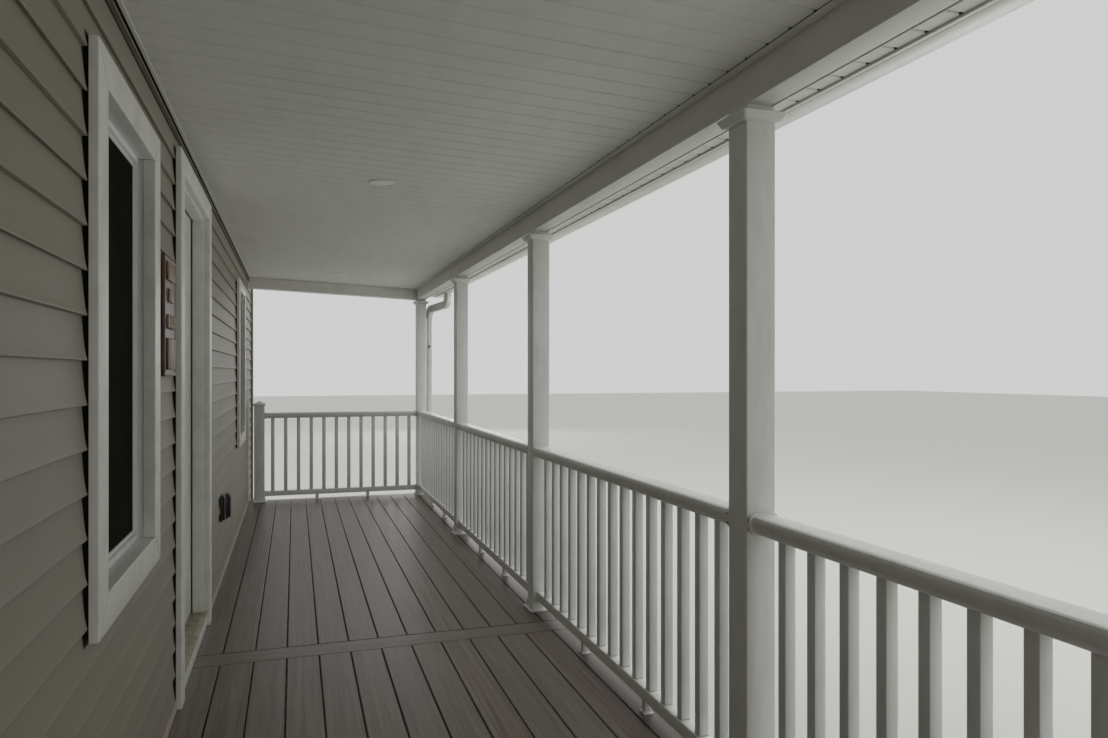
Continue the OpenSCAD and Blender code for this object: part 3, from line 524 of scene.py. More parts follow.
def rounded(outline: Outline, radius: float, steps: int = 3) -> list[Flat]:
    """Rounds the corners of a closed outline.

    Args:
        outline: The corners in order.
        radius: The radius, cut down where a side is too short for it.
        steps: How many short sides make up each rounded corner.

    Returns:
        The outline with an arc in place of each corner.
    """
    result: list[Flat] = []
    for index, corner in enumerate(outline):
        here = Vector(corner)
        back = Vector(outline[index - 1]) - here
        on = Vector(outline[(index + 1) % len(outline)]) - here
        half = back.angle(on) / 2
        if half > math.radians(84.0):
            result.append((here.x, here.y))
            continue
        reach = min(radius / math.tan(half), back.length * 0.48, on.length * 0.48)
        middle = (back.normalized() + on.normalized()).normalized()
        centre = here + middle * (reach / math.cos(half))
        first = here + back.normalized() * reach - centre
        last = here + on.normalized() * reach - centre
        turn = math.copysign(math.pi - 2 * half, first.x * last.y - first.y * last.x)
        for step in range(steps + 1):
            c, s = math.cos(turn * step / steps), math.sin(turn * step / steps)
            result.append((centre.x + first.x * c - first.y * s, centre.y + first.x * s + first.y * c))
    return result


class Axis(Enum):
    """The line that a drawn section runs along."""

    X = 0
    Y = 1
    Z = 2

    def place(self, along: float, section: Flat) -> Point:
        """Puts a point of a section, (Y, Z), (X, Z) or (X, Y), at a distance along the axis."""
        point = list(section)
        point.insert(self.value, along)
        return tuple(point)


class Bench:
    """Where pieces are modelled: each method leaves one mesh whose object sits at the origin."""

    @staticmethod
    def clear() -> None:
        """Leaves edit mode and deselects everything, so that an operator acts on the new mesh alone."""
        if bpy.context.mode != "OBJECT":
            bpy.ops.object.mode_set(mode="OBJECT")
        bpy.ops.object.select_all(action="DESELECT")

    @classmethod
    def pick(cls, piece: Piece) -> None:
        """Selects one piece and makes it the active one."""
        cls.clear()
        piece.select_set(True)
        bpy.context.view_layer.objects.active = piece

    @classmethod
    @contextmanager
    def editing(cls, piece: Piece) -> Iterator[None]:
        """Opens one piece in edit mode with everything selected, and closes it again."""
        cls.pick(piece)
        bpy.ops.object.mode_set(mode="EDIT")
        bpy.ops.mesh.select_all(action="SELECT")
        yield
        bpy.ops.object.mode_set(mode="OBJECT")

    @classmethod
    def modify(cls, piece: Piece, kind: str, **settings: object) -> Piece:
        """Adds a modifier with its settings and applies it."""
        cls.pick(piece)
        modifier = piece.modifiers.new(kind.lower(), kind)
        for key, value in settings.items():
            setattr(modifier, key, value)
        bpy.ops.object.modifier_apply(modifier=modifier.name)
        return piece

    @classmethod
    def loft(cls, rings: Sequence[Sequence[Point]]) -> Piece:
        """Extrudes a face from ring to ring, and leaves a closed solid.

        Args:
            rings: Outlines in space with the same number of points, in order.

        Returns:
            The solid.
        """
        cls.clear()
        bpy.ops.mesh.primitive_circle_add(vertices=len(rings[0]), radius=1.0, fill_type="NGON")
        piece = bpy.context.active_object
        for vertex, point in zip(piece.data.vertices, rings[0]):
            vertex.co = point
        with cls.editing(piece):
            for before, after in zip(rings, rings[1:]):
                bpy.ops.mesh.extrude_region_move()
                mesh = bmesh.from_edit_mesh(piece.data)
                nearest = KDTree(len(before))
                for index, point in enumerate(before):
                    nearest.insert(point, index)
                nearest.balance()
                for vertex in [v for v in mesh.verts if v.select]:
                    vertex.co = after[nearest.find(vertex.co)[1]]
                bmesh.update_edit_mesh(piece.data)
            bpy.ops.mesh.select_all(action="SELECT")
            bpy.ops.mesh.normals_make_consistent(inside=False)
        return piece

    @classmethod
    def bar(cls, axis: Axis, section: Outline, start: float, end: float) -> Piece:
        """Draws a section and pulls it along an axis.

        Args:
            axis: The way that the section is pulled.
            section: The section's outline, on the other two axes.
            start: Where it starts along the axis.
            end: Where it ends.

        Returns:
            The bar.
        """
        return cls.loft([[axis.place(at, p) for p in section] for at in (start, end)])

    @classmethod
    def mitred(cls, rect: Rect, level: Outline, upright: Outline = (), gap: float = 0.0, slope: float = 1.0,
               foot: bool = True) -> Piece:
        """Makes an upright frame, parallel to the wall, of bars whose ends are mitred.

        Args:
            rect: The frame's outer edges: near end, far end, foot and head.
            level: The section of the bars over and under, as (distance in from the outer edge, depth).
            upright: The section of the bars at the sides, the same as level where it is left out.
            gap: The open joint left at each mitre.
            slope: A side bar's width over a level bar's, which turns the mitre from 45 degrees.
            foot: Whether there is a bar under the opening; if not, the sides end square.

        Returns:
            The bars as one mesh.
        """
        a0, a1, b0, b1 = rect
        trim = gap / 2 * math.sqrt(2)
        sides = upright or level
        bars = []
        for flat, low, high, edge, inward in ((True, a0, a1, b0, 1), (True, a0, a1, b1, -1),
                                              (False, b0, b1, a0, 1), (False, b0, b1, a1, -1)):
            if flat and inward > 0 and not foot:
                continue
            ends = []
            for end, sign in ((low, 1), (high, -1)):
                square = not flat and sign > 0 and not foot
                ring = []
                for inset, depth in (level if flat else sides):
                    cut_back = 0.0 if square else inset * (slope if flat else 1 / slope) + trim
                    run, side = end + sign * cut_back, edge + inward * inset
                    ring.append(Axis.Y.place(depth, (run, side) if flat else (side, run)))
                ends.append(ring)
            bars.append(cls.loft(ends))
        return cls.join(bars)

    @classmethod
    def block(cls, low: Point, high: Point, edge: float = 0.0, steps: int = 2) -> Piece:
        """Makes a board or block between two corners, with its edges eased.

        Args:
            low: The lowest corner.
            high: The highest corner.
            edge: The radius of its edges.
            steps: The faces round each edge.

        Returns:
            The block.
        """
        cls.clear()
        middle = [(a + b) / 2 for a, b in zip(low, high)]
        bpy.ops.mesh.primitive_cube_add(size=1.0, location=middle)
        piece = bpy.context.active_object
        piece.scale = [b - a for a, b in zip(low, high)]
        bpy.ops.object.transform_apply(location=True, rotation=True, scale=True)
        if edge:
            cls.soften(piece, edge, steps)
        return piece

    @classmethod
    def disc(cls, centre: Point, radius: float, height: float, axis: Axis = Axis.Z, sides: int = 32,
             edge: float = 0.0) -> Piece:
        """Makes a round plate or rod about its centre, with its rims eased.

        Args:
            centre: The middle of the solid.
            radius: Its radius.
            height: Its length along the axis.
            axis: The way that it lies.
            sides: The faces round it.
            edge: The radius of its rims.

        Returns:
            The solid.
        """
        cls.clear()
        turn = {Axis.X: (0.0, math.pi / 2, 0.0), Axis.Y: (math.pi / 2, 0.0, 0.0), Axis.Z: (0.0, 0.0, 0.0)}[axis]
        bpy.ops.mesh.primitive_cylinder_add(vertices=sides, radius=radius, depth=height, location=centre,
                                            rotation=turn)
        piece = bpy.context.active_object
        bpy.ops.object.transform_apply(location=True, rotation=True, scale=True)
        if edge:
            cls.soften(piece, edge, 2)
        return piece

    @classmethod
    def turned(cls, centre: Point, profile: Outline, axis: Axis = Axis.Z, sides: int = 32) -> Piece:
        """Makes a turned piece from its profile.

        Args:
            centre: Where its axis starts.
            profile: Points as (radius, distance along the axis).
            axis: The way that its axis runs.
            sides: The faces round it.

        Returns:
            The solid.
        """
        rings = []
        for radius, along in profile:
            ring = []
            for side in range(sides):
                angle = 2 * math.pi * side / sides
                point = Vector(axis.place(along, (radius * math.cos(angle), radius * math.sin(angle))))
                ring.append(tuple(Vector(centre) + point))
            rings.append(ring)
        return cls.loft(rings)

    @classmethod
    def soften(cls, piece: Piece, width: float, steps: int = 2, angle: float = 40.0) -> Piece:
        """Rounds every edge that is sharper than an angle."""
        return cls.modify(piece, "BEVEL", width=width, segments=steps, limit_method="ANGLE",
                          angle_limit=math.radians(angle), use_clamp_overlap=True)

    @classmethod
    def slice(cls, piece: Piece, axis: Axis, places: Iterable[float]) -> Piece:
        """Scores a piece right round at each place along an axis."""
        with cls.editing(piece):
            for at in places:
                bpy.ops.mesh.select_all(action="SELECT")
                bpy.ops.mesh.bisect(plane_co=axis.place(at, (0.0, 0.0)), plane_no=axis.place(1.0, (0.0, 0.0)))
        return piece

    @classmethod
    def sink(cls, piece: Piece, chosen: Callable[[Vector, Vector], bool], steps: Outline) -> Piece:
        """Insets chosen faces step by step.

        Args:
            piece: The piece.
            chosen: Says from a face's centre and normal whether it is one of them.
            steps: Each step in from the edge and out from the face.

        Returns:
            The piece.
        """
        with cls.editing(piece):
            bpy.ops.mesh.select_mode(type="FACE")
            bpy.ops.mesh.select_all(action="DESELECT")
            mesh = bmesh.from_edit_mesh(piece.data)
            for face in mesh.faces:
                face.select_set(chosen(face.calc_center_median(), face.normal))
            bmesh.update_edit_mesh(piece.data)
            for inward, outward in steps:
                bpy.ops.mesh.inset(thickness=inward, depth=outward)
        return piece

    @classmethod
    def repeat(cls, piece: Piece, count: int, step: Point) -> Piece:
        """Repeats a piece in a row."""
        return cls.modify(piece, "ARRAY", count=count, use_relative_offset=False, use_constant_offset=True,
                          constant_offset_displace=step)

    @classmethod
    def cut(cls, piece: Piece, cutter: Piece) -> Piece:
        """Cuts another piece's shape out of a piece and takes the cutter away."""
        cls.modify(piece, "BOOLEAN", operation="DIFFERENCE", solver="EXACT", object=cutter)
        bpy.data.objects.remove(cutter, do_unlink=True)
        return piece

    @classmethod
    def copy(cls, piece: Piece, shift: Point = (0.0, 0.0, 0.0)) -> Piece:
        """Copies a piece with its own mesh and moves the copy."""
        twin = piece.copy()
        twin.data = piece.data.copy()
        twin.data.transform(Matrix.Translation(shift))
        bpy.context.scene.collection.objects.link(twin)
        return twin

    @classmethod
    def flip(cls, piece: Piece, axis: Axis, about: float = 0.0) -> Piece:
        """Mirrors a piece's mesh in a plane and turns its faces outwards again."""
        scale = [1.0, 1.0, 1.0]
        scale[axis.value] = -1.0
        shift = [0.0, 0.0, 0.0]
        shift[axis.value] = 2 * about
        piece.data.transform(Matrix.Translation(shift) @ Matrix.Diagonal((*scale, 1.0)))
        with cls.editing(piece):
            bpy.ops.mesh.normals_make_consistent(inside=False)
        return piece

    @classmethod
    def turn(cls, piece: Piece, matrix: Matrix) -> Piece:
        """Turns or moves a piece's mesh and leaves its object at the origin."""
        piece.data.transform(matrix)
        return piece

    @classmethod
    def join(cls, parts: Sequence[Piece]) -> Piece:
        """Joins parts that are held together for good into one piece."""
        cls.clear()
        for part in parts:
            part.select_set(True)
        bpy.context.view_layer.objects.active = parts[0]
        if len(parts) > 1:
            bpy.ops.object.join()
        return bpy.context.view_layer.objects.active


@dataclass
class Delivery:
    """A finished piece on its way out of an assembly.

    The parts are in place and coated. The slot names the record's material slot and is not used; the node is the CAD
    node that the piece stands for. Edges sharper than smooth_deg stay sharp.
    """

    name: str
    parts: Sequence[Piece]
    slot: str
    node: str
    body: Body = Body.PORCH
    smooth_deg: float = 35.0


@dataclass
class Assembly:
    """A group of pieces that belong together, made in one workshop."""

    shop: "Workshop"

    def coat(self, key: str, *parts: Piece) -> list[Piece]:
        """Puts one finish on parts."""
        return [self.shop.coat(part, key) for part in parts]

    def pieces(self) -> Iterable[Delivery]:
        """Makes the assembly's pieces. Each kind of assembly has its own."""
        raise NotImplementedError

    def build(self) -> None:
        """Hands over every piece."""
        for delivery in self.pieces():
            self.shop.hand_over(delivery)


# Posts and railings

@dataclass
class Railing(Assembly):
    """One panel of vinyl railing: top rail, bottom rail, collars, balusters and foot blocks."""

    node: str
    length: float
    place: Matrix
    top: float = 0.914
    rail_w: float = 0.088
    rail_h: float = 0.054
    shoulder_r: float = 0.016
    foot_w: float = 0.050
    foot_h: float = 0.050
    foot_gap: float = 0.058
    baluster_w: float = 0.034
    pitch: float = 0.1275
    end_clear: float = 0.070
    collar_t: float = 0.018
    block_w: float = 0.030
    hole_gap: float = 0.0012

    def top_section(self, grow: float, groove: bool) -> list[Flat]:
        """Draws the top rail's section.

        Args:
            grow: How much larger than the rail, for the collars that sleeve it.
            groove: Whether the fine line along each shoulder is cut.

        Returns:
            Points as (place across, height above the deck).
        """
        w = self.rail_w / 2 + grow
        r = self.shoulder_r + grow
        low = -self.rail_h - grow
        slot = [(41.0, 0.0), (40.5, 0.0016), (36.5, 0.0016), (36.0, 0.0)] if groove else [(38.5, 0.0)]
        arc = [(90.0, 0.0), (75.0, 0.0), (60.0, 0.0), (49.0, 0.0)] + slot + [(24.0, 0.0), (12.0, 0.0), (0.0, 0.0)]
        right = [(w - r + (r - d) * math.cos(math.radians(a)), grow - r + (r - d) * math.sin(math.radians(a)))
                 for a, d in arc]
        foot = [(w, low + 0.022), (w - 0.003, low + 0.016), (w - 0.008, low + 0.010), (w - 0.013, low + 0.003),
                (w - 0.018, low)]
        half = right + foot
        return [(y, z + self.top) for y, z in half] + [(-y, z + self.top) for y, z in reversed(half)]

    def foot_section(self, grow: float) -> list[Flat]:
        """Draws the bottom rail's section, or its collar's."""
        w = self.foot_w / 2 + grow
        return rounded(rectangle(-w, w, self.foot_gap - grow, self.foot_gap + self.foot_h + grow), 0.005 + grow)

    def collars(self) -> list[Piece]:
        """Makes the four sleeves at the posts, each with its raised rim and its screws."""
        parts = []
        for section, grow, side_y, heights in (
                (lambda g: self.top_section(g, False), 0.0042, self.rail_w / 2,
                 (self.top - 0.014, self.top - 0.040)),
                (self.foot_section, 0.0035, self.foot_w / 2, (self.foot_gap + 0.025,))):
            sleeve = Bench.bar(Axis.X, section(grow), 0.0, self.collar_t - 0.003)
            rim = Bench.bar(Axis.X, section(grow + 0.0022), self.collar_t - 0.0045, self.collar_t)
            Bench.soften(rim, 0.001, 2, 60.0)
            screws = [Bench.disc((self.collar_t / 2 - 0.001, s * (side_y + grow), z), 0.0040, 0.0032,
                                 Axis.Y, 14, 0.0012) for s in (-1, 1) for z in heights]
            near = Bench.join(self.coat("vinyl", sleeve, rim) + self.coat("steel", *screws))
            far = Bench.flip(Bench.copy(near), Axis.X, self.length / 2)
            parts += [near, far]
        return parts

    def balusters(self) -> list[Piece]:
        """Makes the row of balusters, each standing in a black block of painted shade where its routed hole is."""
        count = int((self.length - 2 * self.end_clear) / self.pitch) + 1
        start = (self.length - (count - 1) * self.pitch) / 2
        w = self.baluster_w / 2
        low = self.foot_gap + self.foot_h
        high = self.top - self.rail_h
        bar = Bench.block((start - w, -w, low - 0.006), (start + w, w, high + 0.006), 0.0028, 2)
        # Painted shade: black blocks round each baluster's ends stand for the shade in the rails' holes.
        g = w + self.hole_gap
        hole_shade = [Bench.block((start - g, -g, z0), (start + g, g, z1))
                 for z0, z1 in ((low - 0.004, low + 0.0003), (high - 0.0003, high + 0.004))]
        each = Bench.join(self.coat("vinyl", bar) + self.coat("rubber_and_shade", *hole_shade))
        return [Bench.repeat(each, count, (self.pitch, 0.0, 0.0))]

    def foot_blocks(self) -> list[Piece]:
        """Makes the two small supports under the bottom rail, each with a flange on the deck."""
        w = self.block_w / 2
        parts = []
        for x in (self.length / 3, 2 * self.length / 3):
            shaft = Bench.block((x - w, -w, 0.0), (x + w, w, self.foot_gap + 0.003), 0.003, 2)
            flange = Bench.block((x - w - 0.006, -w - 0.006, 0.0), (x + w + 0.006, w + 0.006, 0.006), 0.002, 2)
            parts += self.coat("vinyl", shaft, flange)
        return parts

    def pieces(self) -> Iterable[Delivery]:
        """Makes the panel in place of its CAD node."""
        top = Bench.bar(Axis.X, self.top_section(0.0, True), 0.0, self.length)
        foot = Bench.bar(Axis.X, self.foot_section(0.0), 0.0, self.length)
        parts = self.coat("vinyl", top, foot) + self.collars() + self.balusters() + self.foot_blocks()
        for part in parts:
            Bench.turn(part, self.place)
        yield Delivery(self.node + "_panel", parts, "white_vinyl", self.node)


@dataclass
class Posts(Assembly):
    """Sleeved posts with a flared trim at the foot and a smaller one at the head."""

    width: float = 0.099
    corner_r: float = 0.0045
    foot_h: float = 0.050
    foot_out: float = 0.020
    head_h: float = 0.028
    head_out: float = 0.028
    head_z: float = 2.644
    newel_h: float = 0.990
    cap_out: float = 0.013
    notch_half: float = 0.048
    notch_ys: Flat = (-2.0, -1.933)
    notch_zs: Flat = (0.4, 0.8)

    def square(self, out: float, z: float) -> list[Point]:
        """Draws a square round a post, with rounded corners, at a height."""
        w = self.width / 2 + out
        return [(x, y, z) for x, y in rounded(rectangle(-w, w, -w, w), self.corner_r + out * 0.25, 4)]

    def shaft(self, low: float, high: float) -> Piece:
        """Makes a plain post about the origin."""
        return Bench.loft([self.square(0.0, low), self.square(0.0, high)])

    def foot_trim(self) -> Piece:
        """Makes the skirt at a post's foot: an upright edge, a cove and a thin lip against the post."""
        out = self.foot_out
        cove = [(math.cos(math.radians(a)), math.sin(math.radians(a))) for a in range(0, 91, 15)]
        profile = [(out - 0.0012, 0.0), (out, 0.0012), (out, 0.0085), (out - 0.0012, 0.010)]
        profile += [(0.005 + (out - 0.0065) * (1 - s), 0.010 + (self.foot_h - 0.016) * (1 - c)) for c, s in cove[1:]]
        profile += [(0.0045, self.foot_h - 0.0015), (0.003, self.foot_h), (0.0003, self.foot_h)]
        return Bench.loft([self.square(o, z) for o, z in profile])

    def head_trim(self) -> Piece:
        """Makes the crown at a post's head: a low step, a straight flare and a thin top edge."""
        out = self.head_out
        profile = [(0.0003, 0.0), (0.0025, 0.0003), (out * 0.30, 0.0022), (out * 0.57, 0.0052), (out * 0.64, 0.0062),
                   (out * 0.72, 0.0098), (out * 0.85, 0.0175), (out * 0.95, self.head_h - 0.005),
                   (out, self.head_h - 0.0018), (out - 0.0006, self.head_h - 0.0003), (out - 0.002, self.head_h)]
        return Bench.loft([self.square(o, z) for o, z in profile])

    def cap(self) -> Piece:
        """Makes the low pyramid on a half post."""
        out = self.cap_out
        profile = [(out - 0.002, 0.0), (out, 0.002), (out, 0.014), (out - 0.0015, 0.0162), (out - 0.006, 0.018),
                   (-0.020, 0.029), (-0.040, 0.0385), (-0.046, 0.0405)]
        return Bench.loft([self.square(o, z) for o, z in profile])

    def pieces(self) -> Iterable[Delivery]:
        """Makes the posts, their trims, the half posts at the wall and the railings."""
        deck, y = LAYOUT.deck_z, LAYOUT.post_y
        shaft, foot, head = self.shaft(deck, LAYOUT.beam_z), self.foot_trim(), self.head_trim()
        shafts = [Bench.copy(shaft, (x, y, 0.0)) for x in LAYOUT.post_xs]
        heads = [Bench.copy(head, (x, y, self.head_z)) for x in LAYOUT.post_xs]
        feet = [Bench.copy(foot, (x, y, deck)) for x in LAYOUT.post_xs]
        feet += [Bench.copy(foot, (s * LAYOUT.corner_x, LAYOUT.newel_y, deck)) for s in (-1, 1)]
        cap = Bench.turn(self.cap(), Matrix.Translation((0, 0, self.newel_h)))
        half_post = Bench.join([self.shaft(0.0, self.newel_h), cap])
        halves = [Bench.copy(half_post, (s * LAYOUT.corner_x, LAYOUT.newel_y, deck)) for s in (-1, 1)]
        for model in (shaft, foot, head, half_post):
            bpy.data.objects.remove(model, do_unlink=True)
        # The far corner post's skirt is cut away behind the downspout.
        (y0, y1), (z0, z1) = self.notch_ys, self.notch_zs
        notch = Bench.block((LAYOUT.corner_x - self.notch_half, y0, z0), (LAYOUT.corner_x + self.notch_half, y1, z1))
        Bench.cut(feet[0], notch)
        for name, parts, node in (("sleeved_posts", shafts, "posts"), ("post_crowns", heads, "post_heads"),
                                  ("post_skirts", feet, "post_feet"), ("wall_half_posts", halves, "wall_newels")):
            yield Delivery(name, self.coat("vinyl", *parts), "white_vinyl", node)
        for railing in self.railings():
            yield from railing.pieces()

    def railings(self) -> Iterable[Railing]:
        """Lays out the railing panels between the posts and back to the wall."""
        w, y, deck = self.width / 2, LAYOUT.post_y, LAYOUT.deck_z
        for i in range(4):
            x0, x1 = LAYOUT.post_xs[i + 1] + w, LAYOUT.post_xs[i] - w
            yield Railing(self.shop, f"front_rail_{i + 1}", x1 - x0, Matrix.Translation((x0, y, deck)))
        turn = Matrix.Rotation(math.pi / 2, 4, "Z")
        for node, x in (("far_rail", LAYOUT.corner_x), ("near_rail", -LAYOUT.corner_x)):
            place = Matrix.Translation((x, y + w, deck)) @ turn
            yield Railing(self.shop, node, LAYOUT.newel_y - w - (y + w), place)


# House wall

def clip(outline: Outline, low: float, high: float) -> list[Flat]:
    """Cuts a closed outline off level at a lowest and a highest second coordinate."""
    for sign, level in ((1.0, low), (-1.0, high)):
        kept: list[Flat] = []
        for index, (x1, z1) in enumerate(outline):
            x0, z0 = outline[index - 1]
            if (z0 - level) * sign * ((z1 - level) * sign) < 0:
                part = (level - z0) / (z1 - z0)
                kept.append((x0 + (x1 - x0) * part, level))
            if (z1 - level) * sign >= 0:
                kept.append((x1, z1))
        outline = kept
    return list(outline)


@dataclass
class Siding(Assembly):
    """Vinyl siding: panels two courses high, each with a rolled butt at its foot and a formed one halfway."""

    pitch: float = 0.1016
    low_courses: int = 3
    back_y: float = -0.1003
    head_y: float = -0.1012
    butt_y: float = -0.1130
    lip_r: float = 0.0017
    lap_gap: float = 0.0036
    hook: float = 0.009
    end_x: float = 5.050
    open_gap: float = 0.009
    trim_below: float = 0.027
    shade_lid_half: float = 4.5225

    def course(self, z: float, lapped: bool, covered: bool) -> list[Flat]:
        """Draws the section of one course.

        Args:
            z: The height of its foot.
            lapped: Whether the foot is the panel's own rolled edge, which stands clear of the course below.
            covered: Whether its head runs up behind the next panel.

        Returns:
            Points as (Y, Z).
        """
        r, y = self.lip_r, self.butt_y
        if lapped:
            foot = [(self.back_y, z + self.lap_gap), (y + 3.0 * r, z + self.lap_gap), (y + 2.6 * r, z + 0.0002)]
        else:
            foot = [(self.back_y, z), (self.head_y, z), (self.head_y - 0.0014, z - 0.0011), (y + 3.4 * r, z - 0.0004)]
        lip = [(y + r - r * math.sin(math.radians(a)), z + r - r * math.cos(math.radians(a)))
               for a in (-15, 15, 45, 75)]
        deep = self.head_y - y
        face = [(y, z + 2.0 * r)] + [(y + deep * part, z + self.pitch * rise) for part, rise in (
            (0.10, 0.07), (0.25, 0.15), (0.42, 0.27), (0.62, 0.50), (0.84, 0.78), (1.0, 0.998))]
        top = z + self.pitch + (self.hook if covered else 0.0)
        return foot + lip + face + [(self.head_y, top), (self.back_y, top)]

    def field(self, x0: float, x1: float, low: float, high: float) -> list[Piece]:
        """Makes the courses of one rectangle of wall.

        Args:
            x0: Its near end.
            x1: Its far end.
            low: Its foot.
            high: Its head.

        Returns:
            One closed bar a course.
        """
        bars = []
        for row in range(math.floor((low - LAYOUT.siding_foot) / self.pitch + 0.001),
                         math.ceil((high - LAYOUT.siding_foot) / self.pitch - 0.001)):
            outline = self.course(LAYOUT.siding_foot + row * self.pitch, row % 2 == 1, row % 2 == 0)
            outline = clip(outline, low, high)
            if len(outline) > 2:
                bars.append(Bench.bar(Axis.X, outline, x0, x1))
        return bars

    def fields(self) -> Iterable[Rect]:
        """Lists the rectangles of siding round the openings, as near end, far end, foot and head."""
        g, foot = self.open_gap, LAYOUT.siding_foot
        ceiling = LAYOUT.ceiling_at(LAYOUT.siding_y) - self.trim_below
        low = foot - self.low_courses * self.pitch
        openings = [(LAYOUT.door_x - LAYOUT.door_half, LAYOUT.door_x + LAYOUT.door_half, 0.0, LAYOUT.door_top)]
        openings += [(x - LAYOUT.window_half, x + LAYOUT.window_half, *LAYOUT.window_span)
                     for x in LAYOUT.windows_x]
        here = -self.end_x
        for x0, x1, z0, z1 in sorted(openings):
            yield here, x0 - g, foot, ceiling
            yield x0 - g, x1 + g, z1 + g, ceiling
            if z0:
                yield x0 - g, x1 + g, foot, z0 - g
            here = x1 + g
        yield here, self.end_x, foot, ceiling
        for sign in (-1, 1):
            for inner, z0, z1 in ((LAYOUT.deck_half, low, foot), (LAYOUT.gable_out + g, ceiling, LAYOUT.roof_in_z),
                                  (LAYOUT.roof_half + g, LAYOUT.roof_in_z, LAYOUT.flashing_z)):
                ends = sorted((sign * inner, sign * self.end_x))
                yield ends[0], ends[1], z0, z1
        yield -self.end_x, self.end_x, LAYOUT.flashing_z, LAYOUT.wall_top

    def finish_trim(self) -> list[Piece]:
        """Makes the channel that holds the siding's head under the ceiling, and black sheets of painted shade behind it
        and under the ceiling's edge.
        """
        top = LAYOUT.ceiling_at(LAYOUT.siding_y)
        lip, half = top - 0.0185, LAYOUT.gable_out
        section = [(-0.1003, lip + 0.0040), (-0.1140, lip + 0.0040), (-0.1145, lip + 0.0008), (-0.1156, lip + 0.0010),
                   (-0.1158, lip + 0.0050), (-0.1152, lip + 0.0058), (-0.1003, lip + 0.0058)]
        channel = Bench.bar(Axis.X, section, -half, half)
        # Painted shade: a black sheet on the sheathing behind the channel.
        shade = Bench.block((-half, -0.1008, top - self.trim_below - 0.003), (half, -0.1001, top))
        # Painted shade: a black sheet under the ceiling panels' edge, over the gap beside the channel.
        y0, y1 = -0.1187, -0.1003
        over = [(y, LAYOUT.ceiling_at(y) - down)
                for y, down in ((y0, 0.0018), (y1, 0.0010), (y1, 0.0002), (y0, 0.0002))]
        lid = Bench.bar(Axis.X, over, -self.shade_lid_half, self.shade_lid_half)
        return self.coat("siding", channel) + self.coat("shade_sheet", shade, lid)

    def pieces(self) -> Iterable[Delivery]:
        """Makes the siding, the wall's corner boards and the strip at the siding's foot."""
        bars = self.coat("siding", *(bar for field in self.fields() for bar in self.field(*field)))
        yield Delivery("lapped_siding", bars + self.finish_trim(), "siding", "siding", smooth_deg=40.0)
        low = LAYOUT.siding_foot - self.low_courses * self.pitch
        corners = []
        for sign in (-1, 1):
            x0, x1 = self.end_x, LAYOUT.wall_half
            face = [(x0 + 0.0012, -0.1002), (x0, -0.120), (x0, -0.1268), (x0 + 0.0012, -0.128), (x1 - 0.0015, -0.128),
                    (x1, -0.1265), (x1, -0.1002)]
            corners.append(Bench.bar(Axis.Z, [(sign * x, y) for x, y in face], low, LAYOUT.wall_top))
        yield Delivery("siding_corner_posts", self.coat("siding", *corners), "siding", "corner_boards")
        z0, z1 = LAYOUT.deck_z + 0.002, LAYOUT.siding_foot
        face = [(-0.1002, z0), (-0.1178, z0), (-0.118, z0 + 0.001), (-0.118, z1 - 0.0015), (-0.1172, z1 - 0.0003),
                (-0.1168, z1), (-0.1002, z1)]
        strips = [Bench.bar(Axis.X, face, x0, x1) for x0, x1 in (
            (-LAYOUT.deck_half, LAYOUT.door_x - LAYOUT.door_half),
            (LAYOUT.door_x + LAYOUT.door_half, LAYOUT.deck_half))]
        yield Delivery("siding_foot_strip", self.coat("strip", *strips), "white_trim", "base_strip")


@dataclass
class Casing(Assembly):
    """Flat boards round an opening, mitred, with a pocket behind their outer edge that the siding runs into."""

    side_w: float = 0.100
    head_w: float = 0.089
    pocket_y: float = -0.1136
    pocket: float = 0.012
    shade_sheet: float = 0.0015
    reveal: float = 0.013
    edge_r: float = 0.0022
    joint: float = 0.0022

    def board(self, width: float) -> list[Flat]:
        """Draws a board's section with its front corners eased, as (distance in from the outer edge, Y)."""
        front = rounded([(0.0, LAYOUT.casing_y), (width, LAYOUT.casing_y), (width, LAYOUT.sheath_y),
                         (0.0, LAYOUT.sheath_y)], self.edge_r)
        eased = [p for p in front if p[1] < LAYOUT.casing_y + 1.2 * self.edge_r]
        return [(0.0, self.pocket_y)] + eased + [(width, LAYOUT.sheath_y), (self.pocket, LAYOUT.sheath_y),
                                                 (self.pocket, self.pocket_y)]

    def lining(self) -> list[Flat]:
        """Draws the black sheet of painted shade in the pocket, which shows past the siding's ends."""
        near, far = self.pocket - self.shade_sheet, self.pocket - 0.0001
        back, front = LAYOUT.sheath_y - 0.0001, self.pocket_y
        return [(-self.reveal, back), (far, back), (far, front), (near, front), (near, back - 0.0006),
                (-self.reveal, back - 0.0006)]

    def frame(self, rect: Rect, open_foot: bool = False) -> list[Piece]:
        """Makes the boards round an opening and the black sheet of painted shade in their pocket.

        Args:
            rect: The outer edges: near end, far end, foot and head.
            open_foot: Whether the uprights stand on the floor, with no board under the opening.

        Returns:
            The parts, with their finishes.
        """
        slope = self.side_w / self.head_w
        boards = Bench.mitred(rect, self.board(self.head_w), self.board(self.side_w), self.joint, slope=slope,
                              foot=not open_foot)
        lining = Bench.mitred(rect, self.lining(), slope=slope, foot=not open_foot)
        return self.coat("trim", boards) + self.coat("shade_sheet", lining)


